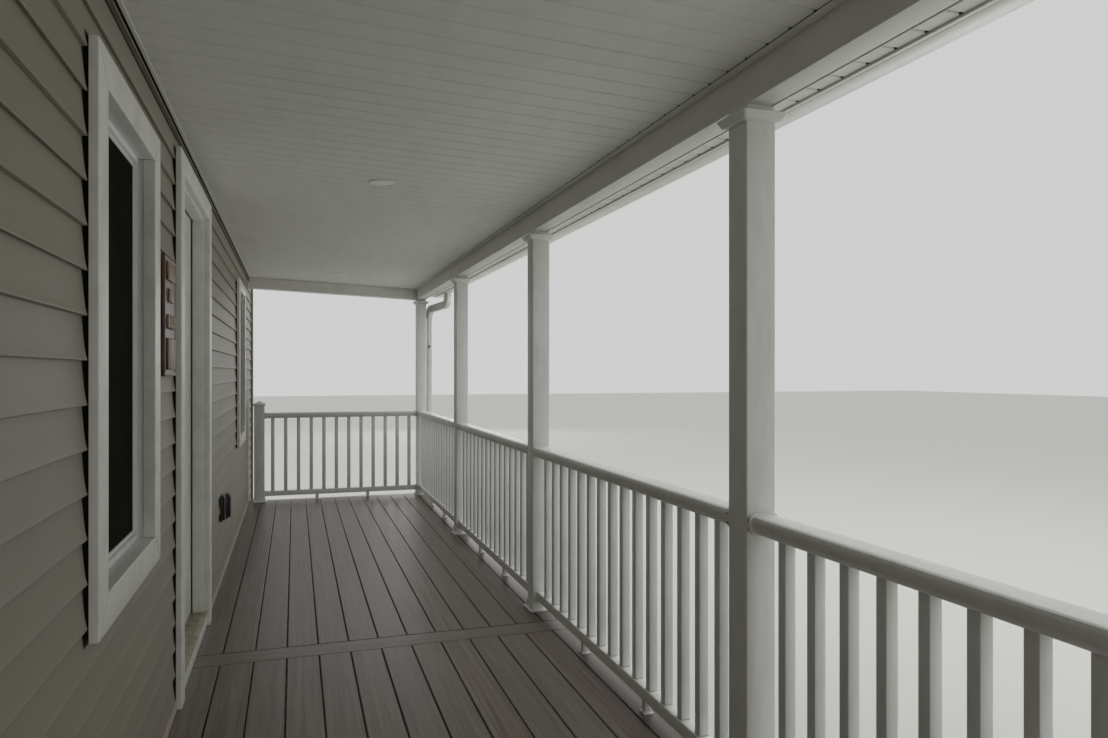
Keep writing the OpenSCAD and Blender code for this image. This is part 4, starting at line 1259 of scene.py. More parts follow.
@dataclass
class Windows(Assembly):
    """The two sliding windows: casings, stepped frames, insect screens and sashes."""

    casing: Casing
    frame_in: float = 0.085
    screen_y: float = -0.074
    mesh_y: float = -0.070
    screen_in: float = 0.1070
    foot_z: float = 1.391
    head_z: float = 2.569
    opening_half: float = 0.320
    sash_w: float = 0.038
    sash_t: float = 0.026
    sash_ys: Flat = (-0.064, -0.0377)
    glass_t: float = 0.006

    def rect(self, x: float, inset: float) -> Rect:
        """Gives a rectangle a distance inside a window's outer edge."""
        z0, z1 = LAYOUT.window_span
        return (x - LAYOUT.window_half + inset, x + LAYOUT.window_half - inset, z0 + inset, z1 - inset)

    def frame(self, x: float) -> Piece:
        """Makes the window's own frame, which steps back twice from the casing."""
        section = [(0.0, -0.0998), (0.0036, -0.0998), (0.0041, -0.0993), (0.0041, -0.0845), (0.0048, -0.0832),
                   (0.0060, -0.0828), (0.0180, -0.0828), (0.0192, -0.0822), (0.0200, -0.0808), (0.0200, -0.0005),
                   (0.0195, 0.0), (0.0, 0.0)]
        return Bench.mitred(self.rect(x, self.frame_in), section)

    def screen(self, x: float) -> list[Piece]:
        """Makes the insect screen: a thin rolled frame, the spline round it and the mesh."""
        bar = [(0.0, self.mesh_y), (0.0004, self.screen_y + 0.0008), (0.0012, self.screen_y),
               (0.0108, self.screen_y), (0.0116, self.screen_y + 0.0008), (0.0120, self.mesh_y + 0.0003),
               (0.0138, self.mesh_y + 0.0003), (0.0138, self.screen_y + 0.0086), (0.0, self.screen_y + 0.0086)]
        frame = Bench.mitred(self.rect(x, self.screen_in), bar, gap=0.0004)
        spline = [(0.0119, self.mesh_y - 0.0009), (0.0123, self.mesh_y - 0.0014), (0.0133, self.mesh_y - 0.0014),
                  (0.0137, self.mesh_y - 0.0009), (0.0137, self.mesh_y + 0.0002), (0.0119, self.mesh_y + 0.0002)]
        cord = Bench.mitred(self.rect(x, self.screen_in), spline)
        x0, x1, z0, z1 = self.rect(x, self.screen_in + 0.0134)
        mesh = Bench.block((x0, self.mesh_y, z0), (x1, self.mesh_y + 0.0010, z1))
        return self.coat("coil", frame) + self.coat("rubber_and_shade", cord) + self.coat("screen", mesh)

    def sash(self, x: float, low: float, high: float, y: float) -> Piece:
        """Makes one sash with beads round its glass, open in the middle."""
        w, t = self.sash_w, self.sash_t
        section = [(0.0, y), (w - 0.011, y), (w - 0.010, y + 0.0006), (w - 0.002, y + 0.0065), (w, y + 0.0075),
                   (w, y + t - 0.0075), (w - 0.002, y + t - 0.0065), (w - 0.010, y + t - 0.0006),
                   (w - 0.011, y + t), (0.0, y + t)]
        half = self.opening_half - 0.0003
        return Bench.mitred((x - half, x + half, low, high), section)

    def pane(self, x: float, low: float, high: float, y: float) -> Piece:
        """Makes the glass of a sash, with a pencilled edge."""
        inset, middle = self.sash_w - 0.0003, y + self.sash_t / 2
        half = self.opening_half - inset
        return Bench.block((x - half, middle - self.glass_t / 2, low + inset),
                           (x + half, middle + self.glass_t / 2, high - inset), 0.0008, 1)

    def latch(self, x: float) -> list[Piece]:
        """Makes the lock at the middle of the meeting rails, on the room side."""
        y, z = self.sash_ys[1] + self.sash_t / 2, self.middle() + self.sash_w / 2
        base = Bench.block((x - 0.030, y - 0.009, z - 0.001), (x + 0.030, y + 0.009, z + 0.007), 0.003, 3)
        cam = Bench.turned((x, y, z + 0.006), [(0.009, 0.0), (0.009, 0.004), (0.007, 0.007), (0.002, 0.008)])
        lever = Bench.block((x, y - 0.004, z + 0.008), (x + 0.028, y + 0.004, z + 0.012), 0.0018, 3)
        return [base, cam, lever]

    def middle(self) -> float:
        """Gives the height at which the two sashes meet."""
        return (self.foot_z + self.head_z) / 2

    def pieces(self) -> Iterable[Delivery]:
        """Makes both windows in place of their CAD nodes."""
        casings, frames, screens, sashes, panes, locks = [], [], [], [], [], []
        reach, (outer, inner) = self.sash_w / 2, self.sash_ys
        for x in LAYOUT.windows_x:
            casings += self.casing.frame(self.rect(x, 0.0))
            frames.append(self.frame(x))
            screens += self.screen(x)
            for low, high, y in ((self.middle() - reach, self.head_z, outer),
                                 (self.foot_z, self.middle() + reach, inner)):
                sashes.append(self.sash(x, low, high, y))
                panes.append(self.pane(x, low, high, y))
            locks += self.latch(x)
        yield Delivery("window_architraves", casings, "white_trim", "window_casings")
        yield Delivery("stepped_window_frames", self.coat("vinyl", *frames), "white_trim", "window_frames")
        yield Delivery("insect_screens", screens, "insect_screen", "window_screens")
        sashes = self.coat("vinyl", *sashes) + self.coat("hardware", *locks)
        yield Delivery("beaded_sashes", sashes, "white_trim", "window_sashes")
        yield Delivery("window_panes", self.coat("glass", *panes), "window_glass", "window_glass")


@dataclass
class Doorway(Assembly):
    """The front door: architrave, rebated frame with its gasket, six-panel leaf, knobs, hinges and sill."""

    casing: Casing
    frame_half: float = 0.486
    frame_top: float = 2.728
    leaf_half: float = 0.457
    leaf_low: float = 0.659
    leaf_high: float = 2.699
    leaf_y: float = -0.046
    leaf_t: float = 0.045
    rebate_y: float = -0.053
    jamb_front_y: float = -0.108
    stile: float = 0.115
    rows: tuple[Flat, ...] = ((0.11, 0.38), (0.45, 0.80), (0.86, 0.945))
    knob_in: float = 0.070
    knob_z: float = 1.550
    hinge_x: float = 0.5165
    hinge_y: float = 0.006
    hinge_zs: tuple[float, ...] = (0.839, 1.629, 2.419)
    hinge_l: float = 0.100
    knuckles: int = 5
    knuckle_gap: float = 0.0003
    pin_end: float = 0.004
    sill_y: float = -0.124
    nose_half: float = 0.482
    board_y: float = -0.121

    def architrave(self) -> list[Piece]:
        """Makes the boards round the door."""
        rect = (LAYOUT.door_x - LAYOUT.door_half, LAYOUT.door_x + LAYOUT.door_half, LAYOUT.deck_z + 0.002,
                LAYOUT.door_top)
        return self.casing.frame(rect, open_foot=True)

    def jambs(self) -> list[Piece]:
        """Makes the rebated frame and the gasket in its corner."""
        x, half = LAYOUT.door_x, self.frame_half
        rect = (x - half, x + half, LAYOUT.sill_top, self.frame_top)
        front, back = self.jamb_front_y, self.rebate_y
        section = [(0.0, -0.0998), (0.0205, -0.0998), (0.0205, front), (0.0322, front), (0.0334, front + 0.0004),
                   (0.0340, front + 0.0016), (0.0340, back - 0.001), (0.0332, back), (0.0220, back), (0.0220, 0.0),
                   (0.0, 0.0)]
        frame = Bench.mitred(rect, section, foot=False)
        bulb = [(0.0222, back + 0.0002), (0.0336, back + 0.0002), (0.0339, back + 0.0030), (0.0330, back + 0.0052),
                (0.0300, back + 0.0066), (0.0222, back + 0.0066)]
        gasket = Bench.mitred(rect, bulb, foot=False)
        return self.coat("door_trim", frame) + self.coat("rubber_and_shade", gasket)

    def leaf(self) -> list[Piece]:
        """Makes the leaf, with six raised panels on each face."""
        x0, x1 = LAYOUT.door_x - self.leaf_half, LAYOUT.door_x + self.leaf_half
        y0, y1 = self.leaf_y, self.leaf_y + self.leaf_t
        tall, pane = self.leaf_high - self.leaf_low, (2 * self.leaf_half - 3 * self.stile) / 2
        leaf = Bench.block((x0, y0, self.leaf_low), (x1, y1, self.leaf_high))
        fields = [(x0 + self.stile + i * (pane + self.stile), self.leaf_low + row[0] * tall,
                   self.leaf_low + row[1] * tall) for row in self.rows for i in (0, 1)]
        Bench.slice(leaf, Axis.X, sorted({x for fx, *_ in fields for x in (fx, fx + pane)}))
        Bench.slice(leaf, Axis.Z, sorted({z for _, low, high in fields for z in (low, high)}))
        Bench.sink(leaf, lambda c, n: abs(n.y) > 0.9 and any(
            fx < c.x < fx + pane and low < c.z < high for fx, low, high in fields),
            ((0.0018, -0.0010), (0.0060, -0.0060), (0.0090, 0.0), (0.0140, 0.0045), (0.0012, 0.0010)))
        return self.coat("door_paint", Bench.soften(leaf, 0.0015, 2, 60.0))

    def knobs(self) -> list[Piece]:
        """Makes a knob on each face, with its rose and, outside, its keyhole."""
        x, z = LAYOUT.door_x - self.leaf_half + self.knob_in, self.knob_z
        shape = [(0.0320, 0.0), (0.0320, 0.0025), (0.0305, 0.0048), (0.0250, 0.0068), (0.0200, 0.0076),
                 (0.0130, 0.0080), (0.0112, 0.0100), (0.0106, 0.0160), (0.0112, 0.0240), (0.0150, 0.0290),
                 (0.0215, 0.0345), (0.0255, 0.0405), (0.0270, 0.0480), (0.0262, 0.0560), (0.0225, 0.0640),
                 (0.0165, 0.0700), (0.0120, 0.0728), (0.0100, 0.0736), (0.0092, 0.0728), (0.0005, 0.0726)]
        knobs = [Bench.turned((x, y, z), [(r, sign * d) for r, d in shape], Axis.Y, 40)
                 for sign, y in ((-1, self.leaf_y), (1, self.leaf_y + self.leaf_t))]
        plug = Bench.turned((x, self.leaf_y - 0.0724, z), [(0.0062, 0.0), (0.0062, -0.0008), (0.0054, -0.0012)],
                            Axis.Y, 24)
        # The keyhole is a black block: painted shade in the keyway.
        slot = Bench.block((x - 0.0008, self.leaf_y - 0.0740, z - 0.0040),
                           (x + 0.0008, self.leaf_y - 0.0732, z + 0.0040))
        return self.coat("hardware", *knobs, plug) + self.coat("rubber_and_shade", slot)

    def hinges(self) -> list[Piece]:
        """Makes the hinges: five knuckles round a pin with ball ends, and the plate on the leaf."""
        parts = []
        step, gap, end = self.hinge_l / self.knuckles, self.knuckle_gap, self.pin_end
        for z in self.hinge_zs:
            for k in range(self.knuckles):
                low = gap if k else end
                high = step - gap if k < self.knuckles - 1 else step - end
                parts.append(Bench.turned((self.hinge_x, self.hinge_y, z + k * step), [
                    (0.0054, low), (0.0060, low + 0.0006), (0.0060, high - 0.0006), (0.0054, high)], Axis.Z, 24))
            for at, sign in ((z + end, -1), (z + self.hinge_l - end, 1)):
                parts.append(Bench.turned((self.hinge_x, self.hinge_y, at), [
                    (0.0030, 0.0), (0.0034, sign * 0.0006), (0.0050, sign * 0.0014), (0.0050, sign * 0.0024),
                    (0.0034, sign * 0.0036), (0.0004, sign * 0.0040)], Axis.Z, 20))
            parts.append(Bench.block((self.hinge_x - 0.030, -0.0008, z + 0.001),
                                     (self.hinge_x, 0.0014, z + self.hinge_l - 0.001), 0.0006, 2))
            for at in (0.016, 0.050, 0.084):
                parts.append(Bench.turned((self.hinge_x - 0.019, 0.0013, z + at), [
                    (0.0042, 0.0), (0.0040, 0.0005), (0.0030, 0.0009), (0.0010, 0.0006)], Axis.Y, 16))
        return self.coat("steel", *parts)

    def sill(self) -> list[Piece]:
        """Makes the ribbed threshold with its rolled nose."""
        x, half, top, floor = LAYOUT.door_x, self.frame_half, LAYOUT.sill_top, LAYOUT.floor_z
        flat = [(0.0, floor), (0.0, top - 0.003), (-0.004, top)]
        for rib in range(5):
            y = -0.062 - rib * 0.0062
            flat += [(y, top), (y - 0.0008, top - 0.0011), (y - 0.0024, top - 0.0011), (y - 0.0032, top)]
        inner = Bench.bar(Axis.X, flat + [(-0.0995, top), (-0.0995, floor)], x - half, x + half)
        y, fall = self.sill_y, 0.004
        nose = [(-0.0995, top - 0.010), (-0.0995, top), (-0.104, top - 0.0004), (-0.112, top - 0.002),
                (y + 0.003, top - fall + 0.0003), (y + 0.0008, top - fall - 0.0008), (y, top - fall - 0.003),
                (y, top - fall - 0.007), (y + 0.001, top - fall - 0.010), (y + 0.004, top - fall - 0.0102)]
        outer = Bench.bar(Axis.X, nose, x - self.nose_half, x + self.nose_half)
        return self.coat("threshold", inner, outer)

    def sill_board(self) -> list[Piece]:
        """Makes the white board under the threshold's nose."""
        y, low = self.board_y, LAYOUT.deck_z + 0.002
        high = LAYOUT.sill_top - 0.0145
        face = rounded([(-0.1002, low), (y, low), (y, high), (-0.1002, high)], 0.0012, 2)
        board = Bench.bar(Axis.X, face, LAYOUT.door_x - self.nose_half, LAYOUT.door_x + self.nose_half)
        return self.coat("trim_long", board)

    def pieces(self) -> Iterable[Delivery]:
        """Makes the doorway on the porch and the leaf on the door."""
        yield Delivery("rebated_door_frame", self.jambs(), "white_trim", "door_frame")
        yield Delivery("door_architrave", self.architrave(), "white_trim", "door_casing")
        yield Delivery("door_threshold", self.sill(), "threshold", "door_sill")
        yield Delivery("board_under_threshold", self.sill_board(), "white_trim", "sill_board")
        yield Delivery("door_leaf_panelled", self.leaf(), "door_paint", "door_leaf", Body.DOOR)
        yield Delivery("door_knob_set", self.knobs(), "hardware", "door_knob", Body.DOOR)
        yield Delivery("butt_hinges", self.hinges(), "hardware", "door_hinges", Body.DOOR)


@dataclass
class WallFittings(Assembly):
    """What hangs on the wall: a dark wooden plaque with a plain raised pattern, and two covered outlets."""

    plaque_x: float = -0.770
    plaque_w: float = 0.260
    plaque_span: Flat = (1.890, 2.320)
    outlets: tuple[Flat, ...] = ((1.431, 0.957), (1.864, 0.900))
    outlet_w: float = 0.090
    outlet_h: float = 0.165

    def plaque(self) -> list[Piece]:
        """Makes the plaque: a board with an eased rim, and bosses and bars that stand for nothing."""
        x, (z0, z1), y = self.plaque_x, self.plaque_span, LAYOUT.siding_y
        w = self.plaque_w / 2
        board = Bench.block((x - w, y - 0.013, z0), (x + w, y, z1))
        Bench.sink(board, lambda c, n: n.y < -0.9, ((0.010, 0.0), (0.004, -0.003)))
        Bench.soften(board, 0.003, 3, 30.0)
        tall, raised, nails = z1 - z0, [], []
        for low, high, half in ((0.055, 0.320, 0.078), (0.620, 0.735, 0.046), (0.800, 0.955, 0.078)):
            raised.append(Bench.block((x - half, y - 0.0185, z0 + low * tall), (x + half, y - 0.009, z0 + high * tall),
                                      0.0045, 3))
        for sign in (-1, 0, 1):
            raised.append(Bench.turned((x + sign * 0.058, y - 0.009, z0 + 0.455 * tall), [
                (0.026, 0.0), (0.026, -0.0055), (0.0245, -0.0075), (0.020, -0.0085), (0.016, -0.0080),
                (0.013, -0.0085), (0.009, -0.0100), (0.004, -0.0106), (0.0005, -0.0108)], Axis.Y, 36))
        for sign in (-1, 1):
            nails += [Bench.turned((x + sign * (w - 0.020), y - 0.0125, z), [
                (0.0035, 0.0), (0.0032, -0.0012), (0.0012, -0.0020)], Axis.Y, 14) for z in (z0 + 0.020, z1 - 0.020)]
        return self.coat("stain", board) + self.coat("stain_worn", *raised) + self.coat("hardware", *nails)

    def outlet(self, x: float, z0: float) -> list[Piece]:
        """Makes a weather cover: a gasketed base, a sprung lid with a ridge round it, a hinge and screws."""
        z1, y, w = z0 + self.outlet_h, LAYOUT.siding_y, self.outlet_w / 2
        base = Bench.block((x - w, y - 0.009, z0), (x + w, y + 0.012, z1), 0.003, 2)
        lid = Bench.block((x - w + 0.006, y - 0.0225, z0 + 0.008), (x + w - 0.006, y - 0.010, z1 - 0.014))
        Bench.sink(lid, lambda c, n: n.y < -0.9, ((0.008, 0.0), (0.003, -0.0025)))
        Bench.soften(lid, 0.004, 3, 50.0)
        barrel = Bench.disc((x, y - 0.013, z1 - 0.010), 0.0045, self.outlet_w - 0.020, Axis.X, 20, 0.001)
        tab = Bench.block((x - 0.012, y - 0.024, z0 + 0.004), (x + 0.012, y - 0.012, z0 + 0.012), 0.002, 2)
        screws = [Bench.turned((x + sx * (w - 0.0045), y - 0.0088, z), [
            (0.0034, 0.0), (0.0032, -0.0008), (0.0010, -0.0014)], Axis.Y, 14)
            for sx in (-1, 1) for z in (z0 + 0.012, z1 - 0.030)]
        return self.coat("outlet", base, lid, barrel, tab) + self.coat("steel", *screws)

    def pieces(self) -> Iterable[Delivery]:
        """Makes the fittings."""
        yield Delivery("wooden_plaque", self.plaque(), "plaque_wood", "plaque")
        covers = [part for at in self.outlets for part in self.outlet(*at)]
        yield Delivery("outlet_weather_covers", covers, "outlet_plastic", "outlet_covers")


# Ceiling, beams and eave

def vee(half: float, depth: float, bottom: float = 0.0006) -> list[Flat]:
    """Draws a groove in a panel's face, as points over its middle and its depth."""
    return [(-half, 0.0), (-half * 0.80, depth * 0.14), (-bottom, depth), (bottom, depth), (half * 0.80, depth * 0.14),
            (half, 0.0)]


def grooved(half: float, face: float, back: float, pitch: float = 0.1016) -> list[Flat]:
    """Draws the section of vinyl panels with a groove at each step.

    Args:
        half: Half the run of panels.
        face: The height of their face.
        back: The height of their back.
        pitch: The distance between grooves.

    Returns:
        Points as (X, Z).
    """
    count = math.floor(half / pitch)
    points = [(-half, back), (-half, face)]
    for k in range(-count, count + 1):
        points += [(k * pitch + x, face + z) for x, z in vee(0.0058, 0.0075)]
    return points + [(half, face), (half, back)]


def notches(half: float, ys: Flat, zs: Flat, pitch: float = 0.1016) -> Piece:
    """Makes black blocks of painted shade in the open ends of the grooves where panels run under an edge.

    Args:
        half: Half the run of panels.
        ys: The notches' extent across.
        zs: Their extent in height.
        pitch: The distance between grooves.

    Returns:
        All the notches as one mesh.
    """
    count = math.floor(half / pitch)
    first = Bench.block((-count * pitch - 0.0055, ys[0], zs[0]), (-count * pitch + 0.0055, ys[1], zs[1]))
    return Bench.repeat(first, 2 * count + 1, (pitch, 0.0, 0.0))


@dataclass
class Ceiling(Assembly):
    """Grooved vinyl ceiling panels, the flanges that hold their ends, and three flush ring lights."""

    half: float = 4.523
    depth: float = 0.0118
    front_flange: float = 0.033
    wall_flange: Flat = (-0.1325, -0.1190)
    light_xs: tuple[float, ...] = (-3.71, -0.01, 3.69)
    light_y: float = -0.9715
    light_r: float = 0.065

    def flange(self, low: float, high: float, hem_low: bool, hem_high: bool) -> list[Flat]:
        """Draws a flange under the panels' ends, as (distance across, height), with a gap over each hem."""
        z = LAYOUT.ceiling_z
        left = [(low + 0.0030, z - 0.0014), (low + 0.0006, z - 0.0017)] if hem_low else [(low, z - 0.0004)]
        right = [(high - 0.0006, z - 0.0017), (high - 0.0030, z - 0.0014)] if hem_high else [(high, z - 0.0004)]
        foot = [(low, z - 0.0028), (low + 0.0012, z - 0.0039), (high - 0.0012, z - 0.0039), (high, z - 0.0028)]
        return [(low + 0.005, z - 0.0004)] + left + foot + right + [(high - 0.005, z - 0.0004)]

    def trim(self) -> list[Piece]:
        """Makes the flanges on all four sides, with black blocks of painted shade in the groove ends and along the
        front edge.
        """
        front = LAYOUT.beam_in_y
        bars = [Bench.bar(Axis.X, self.flange(front + 0.0012, front + self.front_flange, False, True),
                          -self.half + 0.001, self.half - 0.001),
                Bench.bar(Axis.X, self.flange(*self.wall_flange, True, True),
                          -self.half + 0.001, self.half - 0.001)]
        for sign in (-1, 1):
            low, high = sorted((sign * (self.half - 0.0012), sign * (self.half - 0.025)))
            bars.append(Bench.bar(Axis.Y, self.flange(low, high, sign > 0, sign < 0),
                                  front + self.front_flange, self.wall_flange[0]))
        edge, z = front + self.front_flange, LAYOUT.ceiling_z
        # Painted shade: black blocks in the groove ends over the front flange, and a black line along its edge.
        dark = notches(self.half, (edge - 0.0010, edge + 0.0045), (z - 0.0012, z - 0.0002))
        line = Bench.block((-self.half + 0.001, edge - 0.0032, z - 0.0016),
                           (self.half - 0.001, edge + 0.0006, z - 0.0003))
        return self.coat("ceiling", *bars) + self.coat("shade_sheet", dark, line)

    def lights(self) -> list[Piece]:
        """Makes the lights: a domed ring and an opal lens set a little inside it."""
        parts = []
        for x in self.light_xs:
            at = (x, self.light_y, LAYOUT.ceiling_z - 0.0004)
            ring = Bench.turned(at, [
                (self.light_r, 0.0), (self.light_r, -0.0014), (0.0640, -0.0034), (0.0600, -0.0050), (0.0550, -0.0056),
                (0.0505, -0.0050), (0.0488, -0.0036), (0.0482, -0.0010)], Axis.Z, 64)
            lens = Bench.turned(at, [
                (0.0481, -0.0006), (0.0480, -0.0022), (0.0400, -0.0028), (0.0250, -0.0033), (0.0005, -0.0035)],
                Axis.Z, 48)
            parts += self.coat("vinyl", ring) + self.coat("opal", lens)
        return parts

    def pieces(self) -> Iterable[Delivery]:
        """Makes the ceiling level and leans it to its fall."""
        outline = grooved(self.half, LAYOUT.ceiling_z, LAYOUT.ceiling_z + self.depth)
        panels = self.coat("ceiling", Bench.bar(Axis.Y, outline, LAYOUT.beam_in_y, LAYOUT.sheath_y))
        for name, parts, slot, node in (("grooved_ceiling", panels, "ceiling_vinyl", "ceiling"),
                                        ("ceiling_flanges", self.trim(), "ceiling_vinyl", "ceiling_trim"),
                                        ("flush_ring_lights", self.lights(), "white_trim", "ceiling_lights")):
            yield Delivery(name, [Bench.turn(part, LAYOUT.lean()) for part in parts], slot, node)


@dataclass
class Beams(Assembly):
    """Beams wrapped in bent coil: a main piece round the inside and the foot, and a face piece hemmed under it."""

    top: float = 2.850
    width: float = 0.090
    slot_at: Flat = (0.0013, 0.0100)
    slot_depth: float = 0.0080
    joints: tuple[float, ...] = (-1.525, 1.525)
    nail_count: int = 15
    nail_y: float = -1.850
    nail_inset: float = 0.150

    def section(self, outer: float, inward: int, shrink: float) -> list[Flat]:
        """Draws a beam's section with the open hem near its outer edge.

        Args:
            outer: The place of the outer face.
            inward: The way to the inner face, 1 or -1.
            shrink: How far this length lies inside the next one at a lap.

        Returns:
            Points as (distance across, height).
        """
        z, s = LAYOUT.beam_z + shrink, self.slot_at
        across = [(shrink, self.top), (shrink, z + 0.0006), (shrink + 0.0004, z + 0.0002), (s[0] - 0.0003, z + 0.0002),
                  (s[0], z + 0.0005), (s[0], z + self.slot_depth), (s[1], z + self.slot_depth), (s[1], z + 0.0008),
                  (s[1] + 0.0008, z), (self.width - 0.0022 - shrink, z), (self.width - 0.0008 - shrink, z + 0.0004),
                  (self.width - shrink, z + 0.0018), (self.width - shrink, self.top)]
        return [(outer + inward * a, height) for a, height in across]

    def front(self) -> list[Piece]:
        """Makes the front beam in three lengths that lap, with its nails."""
        ends = (-LAYOUT.gable_x,) + self.joints + (LAYOUT.gable_x,)
        parts = []
        for k, (x0, x1) in enumerate(zip(ends, ends[1:])):
            section = self.section(LAYOUT.beam_out_y, 1, 0.0005 if k == 1 else 0.0)
            parts.append(Bench.bar(Axis.X, section, x0, x1))
        return self.coat("coil", *parts, *self.nails())

    def nails(self) -> list[Piece]:
        """Makes the painted nail heads along the foot of the front beam."""
        heads = []
        reach = LAYOUT.gable_x - self.nail_inset
        for k in range(self.nail_count):
            x = -reach + k * 2 * reach / (self.nail_count - 1)
            heads.append(Bench.turned((x, self.nail_y, LAYOUT.beam_z + 0.0005), [
                (0.0022, 0.0), (0.0021, -0.0005), (0.0008, -0.0009)], Axis.Z, 8))
        return heads

    def end(self, sign: int) -> list[Piece]:
        """Makes the beam over one end, leaning with the ceiling."""
        outer, y0, y1 = sign * LAYOUT.gable_x, LAYOUT.beam_in_y + 0.0003, LAYOUT.siding_y - 0.0005
        wrap = Bench.turn(Bench.bar(Axis.Y, self.section(outer, -sign, 0.0), y0, y1), LAYOUT.lean())
        return self.coat("coil", wrap)

    def pieces(self) -> Iterable[Delivery]:
        """Makes the three beams."""
        yield Delivery("wrapped_front_beam", self.front(), "beam_wrap", "beam_front")
        yield Delivery("wrapped_far_beam", self.end(1), "beam_wrap", "beam_far")
        yield Delivery("wrapped_near_beam", self.end(-1), "beam_wrap", "beam_near")


@dataclass
class Eave(Assembly):
    """The eave: grooved soffit strip, fascia, gutter with its hangers, and the downspout with two bends."""

    soffit_depth: float = 0.012
    gap: float = 0.0035
    fascia_t: float = 0.020
    fascia_z: float = 2.732
    fascia_top: float = 2.8797
    gutter_z: float = 2.736
    gutter_w: float = 0.122
    gutter_h: float = 0.088
    gutter_foot: float = 0.076
    skin: float = 0.0014
    hanger_step: float = 0.610
    spout_w: float = 0.076
    spout_d: float = 0.051
    spout_y: float = -1.9685
    outlet_x: float = 4.1895
    bend_r: float = 0.070
    bend_deg: float = 85.0
    bend_steps: int = 8
    outlet_z: float = 2.686
    twist: float = 0.040
    foot_z: float = 0.060
    sleeve: float = 0.0012
    straps: tuple[float, ...] = (1.070, 2.170)
    strap_h: float = 0.025
    strap_t: float = 0.0016

    def soffit(self) -> list[Piece]:
        """Makes the grooved strip, whose grooves end open before the fascia, with painted shade as black blocks in that
        gap and the groove ends.
        """
        low, inner, outer = LAYOUT.soffit_z, LAYOUT.beam_out_y, LAYOUT.fascia_y + self.fascia_t
        panels = Bench.bar(Axis.Y, grooved(LAYOUT.gable_x, low + 0.0002, low + self.soffit_depth),
                           outer + self.gap, inner)
        # Painted shade: a black sheet in the gap before the fascia, and black blocks in the groove ends.
        shade = Bench.block((-LAYOUT.gable_x, outer + 0.0002, low + 0.0040),
                            (LAYOUT.gable_x, outer + self.gap + 0.0002, low + self.soffit_depth - 0.0005))
        ends = notches(LAYOUT.gable_x, (outer + self.gap - 0.0002, outer + self.gap + 0.0050),
                       (low + 0.0001, low + 0.0060))
        return self.coat("ceiling", panels) + self.coat("shade_sheet", shade, ends)

    def fascia(self) -> list[Piece]:
        """Makes the fascia: a board in bent coil with a hem along its foot."""
        y, z, t = LAYOUT.fascia_y, self.fascia_z, self.fascia_t
        high = self.fascia_top
        face = [(y, high), (y, z + 0.0010), (y + 0.0008, z + 0.0002), (y + 0.0022, z + 0.0002),
                (y + 0.0030, z + 0.0012), (y + 0.0034, z + 0.0030), (y + 0.0046, z + 0.0030),
                (y + 0.0050, z + 0.0008), (y + 0.0060, z),
                (y + t - 0.0010, z), (y + t, z + 0.0010), (y + t, high + 0.0048)]
        return self.coat("coil", Bench.bar(Axis.X, face, -LAYOUT.roof_half, LAYOUT.roof_half))

    def profile(self) -> list[Flat]:
        """Draws the gutter's outside from its back edge down, along the foot and up the curved front."""
        w, h, foot = self.gutter_w, self.gutter_h, self.gutter_foot
        curve = [(foot + (w - foot) * math.sin(math.radians(a)), 0.014 + 0.054 * (1 - math.cos(math.radians(a))))
                 for a in range(0, 91, 10)]
        return [(0.0, h), (0.0, 0.0016), (0.0004, 0.0004), (0.0016, 0.0), (foot - 0.0018, 0.0), (foot - 0.0005, 0.0005),
                (foot, 0.0018), (foot, 0.0130)] + curve + [(w, 0.0760), (w - 0.0030, 0.0780), (w - 0.0030, 0.0835),
                                                           (w - 0.0012, 0.0862), (w - 0.0016, 0.0878)]

    def gutter(self) -> list[Piece]:
        """Makes the gutter as a bent sheet with folded lip, end caps, hangers and screws."""
        y, z = LAYOUT.fascia_y, self.gutter_z
        out = self.profile()
        inner = []
        for index, point in enumerate(out):
            before, after = Vector(out[max(index - 1, 0)]), Vector(out[min(index + 1, len(out) - 1)])
            along = (after - before).normalized()
            inner.append((point[0] - along.y * self.skin, point[1] + along.x * self.skin))
        sheet = [(y - a, z + b) for a, b in out] + [(y - a, z + b) for a, b in reversed(inner)]
        parts = [Bench.bar(Axis.X, sheet, -LAYOUT.roof_half, LAYOUT.roof_half)]
        cap = [(y - a, z + b) for a, b in out[:-4]] + [(y - self.gutter_w + 0.003, z + 0.0855)]
        for sign in (-1, 1):
            parts.append(Bench.bar(Axis.X, cap, sign * (LAYOUT.roof_half - 0.0004),
                                   sign * (LAYOUT.roof_half + 0.0022)))
        hangers = []
        count = int(2 * LAYOUT.roof_half / self.hanger_step)
        for k in range(count):
            x = (k - (count - 1) / 2) * self.hanger_step
            section = [(y - 0.001, z + 0.074), (y - 0.001, z + 0.0765), (y - 0.060, z + 0.0825),
                       (y - 0.117, z + 0.0840), (y - 0.117, z + 0.0815), (y - 0.060, z + 0.0800)]
            hangers.append(Bench.bar(Axis.X, section, x - 0.012, x + 0.012))
            hangers.append(Bench.turned((x, y - 0.0015, z + 0.066), [
                (0.0052, 0.0), (0.0052, -0.0030), (0.0040, -0.0040), (0.0004, -0.0041)], Axis.Y, 6))
        return self.coat("enamel", *parts) + self.coat("steel", *hangers)

    def tube(self, ways: Sequence[tuple[Vector, float, float]], grow: float) -> Piece:
        """Pulls the downspout's section along a path.

        Args:
            ways: For each ring its centre, the angle in degrees that its width turns about the upright, and the angle
                that it tips from straight down towards its own width.
            grow: How much larger than the pipe it is.

        Returns:
            The closed length of pipe.
        """
        w, d = self.spout_w / 2 + grow, self.spout_d / 2 + grow
        outline = rounded(rectangle(-w, w, -d, d), 0.008, 4)
        rings = []
        for centre, turn, tip in ways:
            place = Matrix.Translation(centre) @ Matrix.Rotation(math.radians(turn), 4, "Z") @ Matrix.Rotation(
                math.radians(-tip), 4, "Y")
            rings.append([tuple(place @ Vector((a, b, 0.0))) for a, b in outline])
        return Bench.loft(rings)

